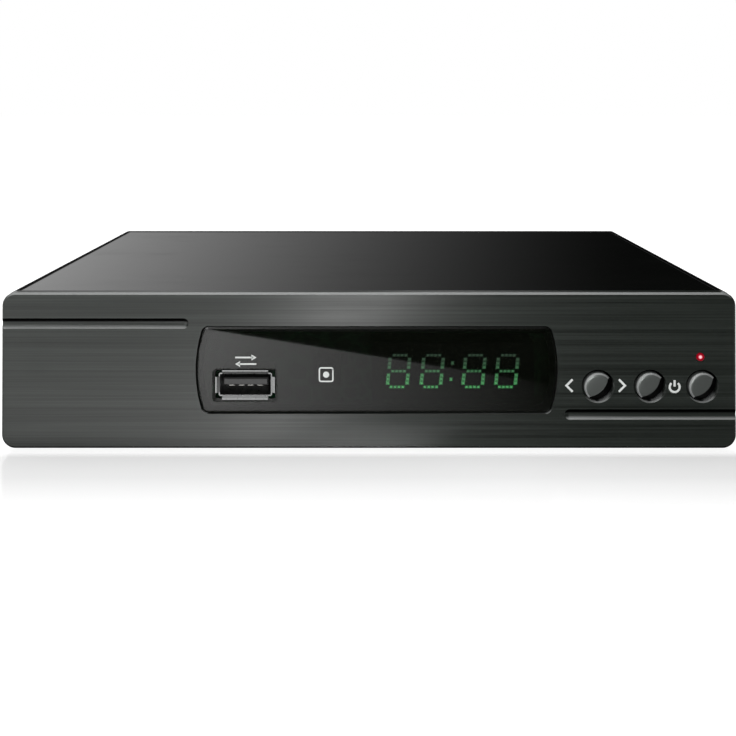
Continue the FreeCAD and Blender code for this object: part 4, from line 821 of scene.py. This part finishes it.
# Where each arrow starts and ends along X, and its height.
PORT_ARROWS = ((-32.8, -27.6, 23.0), (-27.6, -32.8, 21.4))
ARROW_STROKE = 0.4
ARROW_SHAFT_STOP = 0.8
ARROW_HEAD = (1.2, 0.72)
RECEIVER_MARK = (-10.5, 18.8)
FRAME_SIDE = 1.2
FRAME_CORNER = 0.45
FRAME_CORNER_STEPS = 4
FRAME_STROKE = 0.34
FRAME_DOT_RADIUS = 0.75
FRAME_DOT_SIDES = 24


def make_mark(name, outlines, front, look):
    """A mark printed on a face at a depth, sunk in a little so that it stays on."""
    form = Form()
    for outline in outlines:
        form.plate(outline, front - PRINT_THICK, front + PRINT_SUNK)
    make_piece(name, form.mesh(name), look)


def chevron(x, direction):
    """An angle mark that points along X."""
    tip = x + direction * CHEVRON_REACH
    back = x - direction * CHEVRON_REACH
    top, bottom = MARK_MIDDLE_Z + CHEVRON_RISE, MARK_MIDDLE_Z - CHEVRON_RISE
    return stroke([(back, top), (tip, MARK_MIDDLE_Z), (back, bottom)], MARK_STROKE)


def on_off_mark(x, z):
    """A ring open at the top with an upright bar in the gap."""
    ring = stroke(arc_points(x, z, ON_OFF_RADIUS, *ON_OFF_SWEEP, ON_OFF_STEPS), MARK_STROKE)
    top, foot = ON_OFF_BAR
    bar = stroke([(x, z + top), (x, z + foot)], MARK_STROKE)
    return [ring, bar]


def arrow(x0, x1, z):
    """A line with an arrowhead at its second end."""
    way = 1 if x1 > x0 else -1
    length, half = ARROW_HEAD
    shaft = stroke([(x0, z), (x1 - way * ARROW_SHAFT_STOP, z)], ARROW_STROKE)
    head = [(x1 - way * length, z + half), (x1, z), (x1 - way * length, z - half)]
    return [shaft, head]


def frame_mark(x, z):
    """A rounded square with a dot in it."""
    points = []
    for side_x, side_z, start in ((1, 1, 0), (-1, 1, 90), (-1, -1, 180), (1, -1, 270)):
        points += arc_points(x + side_x * FRAME_SIDE, z + side_z * FRAME_SIDE, FRAME_CORNER,
                             start, start + 90, FRAME_CORNER_STEPS)
    outline = stroke(points + points[:2], FRAME_STROKE)
    centre = circle_ring(x, z, FRAME_DOT_RADIUS, 0.0, FRAME_DOT_SIDES)
    return [outline, [(px, pz) for px, _, pz in centre]]


def make_marks(look):
    """The key marks on the fascia, and the port's and the receiver's marks on the window."""
    make_mark("mark_previous", [chevron(PREVIOUS_MARK_X, -1)], 0.0, look)
    make_mark("mark_next", [chevron(NEXT_MARK_X, 1)], 0.0, look)
    make_mark("mark_power", on_off_mark(*POWER_MARK), 0.0, look)
    arrows = [outline for place in PORT_ARROWS for outline in arrow(*place)]
    make_mark("mark_port", arrows, WINDOW_FACE, look)
    make_mark("mark_receiver", frame_mark(*RECEIVER_MARK), WINDOW_FACE, look)


# ---------------------------------------------------------------- screws, sockets and feet
SCREW_PROFILE = (  # radius and height
    (0.1, -3.9), (0.9, -3.8), (1.1, -3.4), (1.1, -0.2), (2.6, 0.0), (2.7, 0.2), (2.68, 0.7),
    (2.5, 1.15), (2.1, 1.42), (1.6, 1.55), (1.5, 1.58),
)
SCREW_SHARP = 40.0
# The recess going down: height, then how long and how wide each arm is from the middle.
RECESS_LEVELS = ((1.6, (1.38, 0.36)), (1.45, (1.3, 0.3)), (0.6, (0.85, 0.2)))
# One quarter of a ring, in degrees from an arm's middle.
RECESS_ANGLES = (-45.0, -38.0, -31.0, -24.0, -18.0, -12.5, -6.0,
                 0.0, 6.0, 12.5, 18.0, 24.0, 31.0, 38.0)
SIDE_SCREW_X = 89.8
SIDE_SCREW_Z = 8.2
SIDE_SCREW_DEPTHS = (34.0, 102.0)
REAR_SCREWS_X = (-80.0, 0.0, 80.0)
REAR_SCREW_Z = 34.8
REAR_SCREW_DEPTH = 122.0
FASCIA_SCREWS_X = (-65.0, 65.0)
FASCIA_SCREW_Z = 2.0
FASCIA_SCREW_DEPTH = 8.0


def recess_reach(angle, long, wide):
    """How far a cross of two bars reaches at an angle from its nearest arm."""
    turn = abs(math.radians(angle))
    end = long / math.cos(turn)
    return min(end, wide / math.sin(turn)) if turn > 0 else end


def screw_ring(radius, z, cross=None):
    """A ring about Z, round or shaped as a cross."""
    ring = []
    for quarter in range(4):
        for angle in RECESS_ANGLES:
            reach = recess_reach(angle, *cross) if cross else radius
            turn = math.radians(90.0 * quarter + angle)
            ring.append((reach * math.cos(turn), reach * math.sin(turn), z))
    return ring


def screw_mesh():
    """A pan head with a cross recess, head upwards from Z = 0, on a short shank."""
    form = Form()
    rings = [screw_ring(radius, z) for radius, z in SCREW_PROFILE]
    rings += [screw_ring(0, z, cross) for z, cross in RECESS_LEVELS]
    form.rings(rings)
    mesh = bpy.data.meshes.new("screw_head")
    mesh.from_pydata([(x * MM, y * MM, z * MM) for x, y, z in form.points], [], form.faces)
    return mesh


def repeated(name, mesh, matrices):
    """One mesh with a copy of another at every matrix."""
    gathered = bmesh.new()
    for matrix in matrices:
        copy = mesh.copy()
        copy.transform(matrix)
        gathered.from_mesh(copy)
        bpy.data.meshes.remove(copy)
    result = bpy.data.meshes.new(name)
    gathered.to_mesh(result)
    gathered.free()
    return result


def standing(x, depth, z, axis, spin=0.0):
    """The matrix that puts a mesh made along Z at a place, with its Z along an axis."""
    turn = Vector(axis).to_track_quat("Z", "Y").to_matrix().to_4x4()
    move = Matrix.Translation((x * MM, (FRONT_MM + depth) * MM, z * MM))
    return move @ turn @ Matrix.Rotation(math.radians(spin), 4, "Z")


def make_screws(look):
    """The cover's and the fascia's screw heads. Each recess stands at its own angle."""
    head = screw_mesh()
    places = [(side, depth) for depth in SIDE_SCREW_DEPTHS for side in (-1, 1)]
    sides = []
    for n, (side, depth) in enumerate(places):
        x = side * SIDE_SCREW_X
        sides.append(standing(x, depth, SIDE_SCREW_Z, (side, 0, 0), 17.0 + 31.0 * n))
    rear = [standing(x, REAR_SCREW_DEPTH, REAR_SCREW_Z, (0, 1, 0), 25.0 + 0.4 * x)
            for x in REAR_SCREWS_X]
    below = [standing(x, FASCIA_SCREW_DEPTH, FASCIA_SCREW_Z, (0, 0, -1), 12.0 + x)
             for x in FASCIA_SCREWS_X]
    make_piece("cover_screw_heads", repeated("cover_screw_heads", head, sides + rear), look,
               "root", ["cover_screws"], SCREW_SHARP)
    make_piece("fascia_screw_heads", repeated("fascia_screw_heads", head, below), look,
               "root", ["fascia_screws"], SCREW_SHARP)


THREAD_PITCH = 0.794
THREAD_STEPS = 8
THREAD_SIDES = 48
THREAD_CREST = 4.7
THREAD_ROOT = 4.3
THREAD_RUN_IN = 0.5
THREAD_RUN_OUT = 0.8
# How steeply a ridge rises in a turn, and how much of it is cut off to leave a flat valley.
THREAD_RISE, THREAD_VALLEY = 1.5, 0.25
SHOULDER_DEPTH = 122.2
SHOULDER_CUT = (0.35, 0.25)
BARREL_SUNK = 0.2
SOCKET_MOUTH = 3.75
SOCKET_MOUTH_CUT = 0.35
SOCKET_BORE = 3.4
SOCKET_FLOOR = 0.5
SOCKET_SHARP = 32.0


def thread_rings(x, z, start, end):
    """Rings whose radius follows a screw thread that fades out at both ends."""
    count = int((end - start) / THREAD_PITCH * THREAD_STEPS)
    rings = []
    for level in range(count + 1):
        depth = start + (end - start) * level / count
        fade = min(1.0, (depth - start) / THREAD_RUN_IN, (end - depth) / THREAD_RUN_OUT)
        ring = []
        for n in range(THREAD_SIDES):
            turn = n / THREAD_SIDES
            phase = ((depth - start) / THREAD_PITCH - turn) % 1.0
            ridge = THREAD_RISE * (1 - abs(2 * phase - 1)) - THREAD_VALLEY
            swell = min(max(ridge, 0.0), 1.0)
            radius = THREAD_ROOT + (THREAD_CREST - THREAD_ROOT) * swell * max(fade, 0.0)
            angle = 2 * math.pi * turn
            ring.append((x + radius * math.cos(angle), depth, z + radius * math.sin(angle)))
        rings.append(ring)
    return rings


def make_antenna_socket(name, look, node):
    """A hexagon shoulder and a threaded barrel with a bore."""
    centre = middle(node)
    low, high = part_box(node)
    start = low.y / MM - FRONT_MM
    end = high.y / MM - FRONT_MM
    half = (high.x - low.x) / MM / 2
    cut_across, cut_along = SHOULDER_CUT
    form = Form()
    rings = []
    for radius, depth in ((half, start), (half, SHOULDER_DEPTH - cut_along),
                          (half - cut_across, SHOULDER_DEPTH)):
        corners = arc_points(centre.x, centre.z, radius, 0, 300, 5)
        rings.append([(x, depth, z) for x, z in corners])
    form.rings(rings)
    barrel = thread_rings(centre.x, centre.z, SHOULDER_DEPTH - BARREL_SUNK, end)
    for radius, depth in ((SOCKET_MOUTH, end), (SOCKET_BORE, end - SOCKET_MOUTH_CUT),
                          (SOCKET_BORE, start + SOCKET_FLOOR)):
        barrel.append(circle_ring(centre.x, centre.z, radius, depth, THREAD_SIDES))
    form.rings(barrel)
    make_piece(name, form.mesh(name), look, "root", [node], SOCKET_SHARP)


FOOT_PROFILE = (  # radius and height
    (0.0, 0.35), (3.6, 0.35), (3.9, 0.1), (4.2, 0.0), (5.3, 0.0), (5.75, 0.12), (5.95, 0.45),
    (6.0, 1.0), (6.0, 2.0), (0.0, 2.0),
)
FOOT_SIDES = 48
FOOT_SHARP = 30.0
FOOT_X = 72.0
FOOT_DEPTHS = (18.0, 106.0)


def foot_mesh():
    """One foot turned about Z, standing on Z = 0."""
    form = Form()
    form.turned(0.0, 0.0, FOOT_PROFILE, FOOT_SIDES)
    mesh = bpy.data.meshes.new("foot")
    points = [(x * MM, y * MM, height * MM) for x, height, y in form.points]
    mesh.from_pydata(points, [], form.faces)
    return cleaned(mesh)


def make_feet(look):
    """Four rubber feet with a hollow underneath and a rounded rim."""
    places = [(side * FOOT_X, depth) for side in (-1, 1) for depth in FOOT_DEPTHS]
    matrices = [standing(x, depth, 0.0, (0, 0, 1)) for x, depth in places]
    make_piece("rubber_foot_pads", repeated("rubber_foot_pads", foot_mesh(), matrices), look,
               "root", ["rubber_feet"], FOOT_SHARP)


def make_pieces(looks):
    """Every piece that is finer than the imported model's own."""
    make_window(looks["window_plastic"])
    make_display_dots(glow_finish("Display dots", (84, 108, 90), (118, 200, 140), 2.7))
    for name, x in KEYS:
        make_key(name, x, looks["key_plastic"])
    make_marks(grained_finish("White print", (172, 175, 173), (192, 195, 193), 0.5, 1.0, 0.05))
    make_screws(looks["screw_steel"])
    make_antenna_socket("antenna_in_threaded", looks["nickel_plate"], "lnb_in_socket")
    make_antenna_socket("antenna_out_threaded", looks["nickel_plate"], "lnb_out_socket")
    make_feet(looks["foot_rubber"])


# ---------------------------------------------------------------- floor, light, camera
# Levels are shares of white. Places on the floor are in millimetres: left and right along X, the
# others ahead of the fascia.
FLOOR_HALF_SIDE = 6.0  # metres
FLOOR_MATT = 0.75
FLOOR_MATT_SEEN = 0.35
FLOOR_WHITE = 0.92
# The lower white in front of the object is a painted reflection of it.
FLOOR_WHITE_SHADED_AHEAD = 0.6
POLISH_START, POLISH_FULL = -2.0, 4.0
MIRROR_REACH = 34.0
MIRROR_END = MIRROR_REACH - 1.0
MIRROR_FAR = 0.7
# What gloss sees of the floor: a lit part with a slanting edge, and a pale part behind.
LIGHT_EDGE = 95.1
LIGHT_EDGE_SLOPE = 0.65
LIGHT_EDGE_BLUR = 0.8
LIT_LEFT, LIT_RIGHT = -62.0, 58.0
LIT_FALL = 1.3
LIT_LEVEL = 3.1
LIT_START, LIT_FULL = 1.0, 6.0
REAR_START, REAR_FULL = -8.0, -40.0
REAR_LEVEL = 0.75


def make_floor():
    """A white floor, polished just in front of the object. Gloss sees it lit as set out above."""
    mesh = bpy.data.meshes.new("floor")
    side = FLOOR_HALF_SIDE
    corners = [(-side, -side, 0), (side, -side, 0), (side, side, 0), (-side, side, 0)]
    mesh.from_pydata(corners, [], [(0, 1, 2, 3)])
    floor = bpy.data.objects.new("floor", mesh)
    bpy.context.collection.objects.link(floor)
    finish = Finish("Pale floor", roughness=0.6, specular_ior_level=0.0, coat_roughness=0.03,
                    coat_ior=1.6)
    path = finish.add("LightPath").outputs
    lit = finish.blend(path["Is Camera Ray"], grey(FLOOR_MATT), grey(FLOOR_MATT_SEEN))
    finish.set("Base Color", finish.blend(path["Is Glossy Ray"], lit, grey(0.0)))
    point = finish.axes()
    ahead = finish.math("SUBTRACT", FRONT_MM, point["Y"])
    polished = finish.ramp(ahead, MIRROR_REACH / 2, MIRROR_END, 1.0, MIRROR_FAR)
    mirror_end = finish.ramp(ahead, MIRROR_END, MIRROR_REACH, 1.0, 0.0)
    polished = finish.math("MULTIPLY", polished, mirror_end)
    mirror_start = finish.ramp(ahead, POLISH_START, POLISH_FULL)
    polished = finish.math("MULTIPLY", polished, mirror_start)
    finish.set("Coat Weight", polished)
    # In front, the floor's white is lower: a painted reflection of the dark object, under the coat's
    # real one.
    plain = finish.blend(polished, grey(FLOOR_WHITE), grey(FLOOR_WHITE_SHADED_AHEAD))
    edge = finish.math("MULTIPLY_ADD", point["X"], LIGHT_EDGE_SLOPE, ahead)
    near = finish.ramp(edge, LIGHT_EDGE - LIGHT_EDGE_BLUR, LIGHT_EDGE + LIGHT_EDGE_BLUR, 1.0, 0.0)
    sweep = finish.math("POWER", finish.ramp(point["X"], LIT_LEFT, LIT_RIGHT, 1.0, 0.0), LIT_FALL)
    seen_gloss = finish.math("MULTIPLY", near, finish.math("MULTIPLY", sweep, LIT_LEVEL))
    seen_gloss = finish.math("MULTIPLY", seen_gloss, finish.ramp(ahead, LIT_START, LIT_FULL))
    behind = finish.ramp(ahead, REAR_START, REAR_FULL, 0.0, REAR_LEVEL)
    seen_gloss = finish.math("ADD", seen_gloss, behind)
    glow = finish.blend(path["Is Glossy Ray"], grey(0.0), seen_gloss)
    finish.set("Emission Color", finish.blend(path["Is Camera Ray"], glow, plain))
    finish.set("Emission Strength", 1.0)
    mesh.materials.append(finish.material)


WORLD_MATT = 0.25
# The gloss sweep runs over the direction's share along X.
SWEEP_BRIGHT, SWEEP_DARK = -0.34, 0.27
SWEEP_FALL = 2.2
SWEEP_LEVEL = 0.75


def make_world():
    """White to the eye; gloss sees a sweep that is bright on the left and dark on the right."""
    world = bpy.data.worlds.new("studio")
    bpy.context.scene.world = world
    world.use_nodes = True
    sheet = Sheet(world.node_tree)
    background = sheet.tree.nodes["Background"]
    direction = sheet.add("TexCoord")
    axis = sheet.add("SeparateXYZ")
    sheet.join(direction.outputs["Generated"], axis.inputs[0])
    flat = sheet.math("MULTIPLY_ADD", axis.outputs["X"], axis.outputs["X"],
                      sheet.math("MULTIPLY", axis.outputs["Y"], axis.outputs["Y"]))
    side = sheet.math("DIVIDE", axis.outputs["X"], sheet.math("SQRT", flat))
    sweep = sheet.ramp(side, SWEEP_BRIGHT, SWEEP_DARK, 1.0, 0.0)
    gloss = sheet.math("MULTIPLY", sheet.math("POWER", sweep, SWEEP_FALL), SWEEP_LEVEL)
    path = sheet.add("LightPath").outputs
    seen_gloss = sheet.blend(path["Is Glossy Ray"], grey(WORLD_MATT), gloss)
    behind = sheet.math("MAXIMUM", path["Is Camera Ray"], path["Is Transmission Ray"])
    sheet.join(sheet.blend(behind, seen_gloss, grey(1.0)), background.inputs["Color"])


FASCIA_MIDDLE = (0.0, FASCIA_FRONT, 0.02)
# Name, place, target, width, height and watts.
LAMPS = (
    ("front", (0.027, -0.31, 0.04), (-0.015, FASCIA_FRONT, 0.02), 0.025, 0.025, 0.3),
    ("top", (-0.1, 0.1, 0.8), (0.0, 0.0, 0.0), 0.6, 0.6, 5.0),
    ("window", (-0.4, -0.74, 0.45), FASCIA_MIDDLE, 0.28, 0.28, 2.8),
    ("strip", (0.0, -0.14, 0.26), FASCIA_MIDDLE, 0.36, 0.06, 0.2),
)


def soft_light(name, place, target, width, height, power):
    """An area lamp that looks at a target and isn't seen itself."""
    light = bpy.data.lights.new(name, "AREA")
    light.shape = "RECTANGLE"
    light.size = width
    light.size_y = height
    light.energy = power
    lamp = bpy.data.objects.new(name, light)
    bpy.context.collection.objects.link(lamp)
    lamp.location = place
    lamp.rotation_euler = (Vector(target) - Vector(place)).to_track_quat("-Z", "Y").to_euler()
    lamp.visible_camera = False


CAMERA_FROM_FASCIA = 0.251147
CAMERA_HEIGHT = 0.085509
CAMERA_X = 0.000686
LENS = 50.04
SENSOR_WIDTH = 36.0
LEVEL = 90.0
TILT = -0.5
SHIFT_X = -0.0051
SHIFT_Y = -0.37282


def make_camera():
    """A nearly level camera in front of the fascia, whose shift keeps uprights parallel."""
    data = bpy.data.cameras.new("camera")
    data.lens = LENS
    data.sensor_width = SENSOR_WIDTH
    data.shift_x = SHIFT_X
    data.shift_y = SHIFT_Y
    camera = bpy.data.objects.new("camera", data)
    bpy.context.collection.objects.link(camera)
    camera.location = (CAMERA_X, FASCIA_FRONT - CAMERA_FROM_FASCIA, CAMERA_HEIGHT)
    camera.rotation_euler = (math.radians(LEVEL - TILT), 0.0, 0.0)
    bpy.context.scene.camera = camera


bpy.context.scene.view_settings.view_transform = "Standard"
make_pieces(dress_nodes())
make_floor()
make_world()
for lamp_values in LAMPS:
    soft_light(*lamp_values)
make_camera()
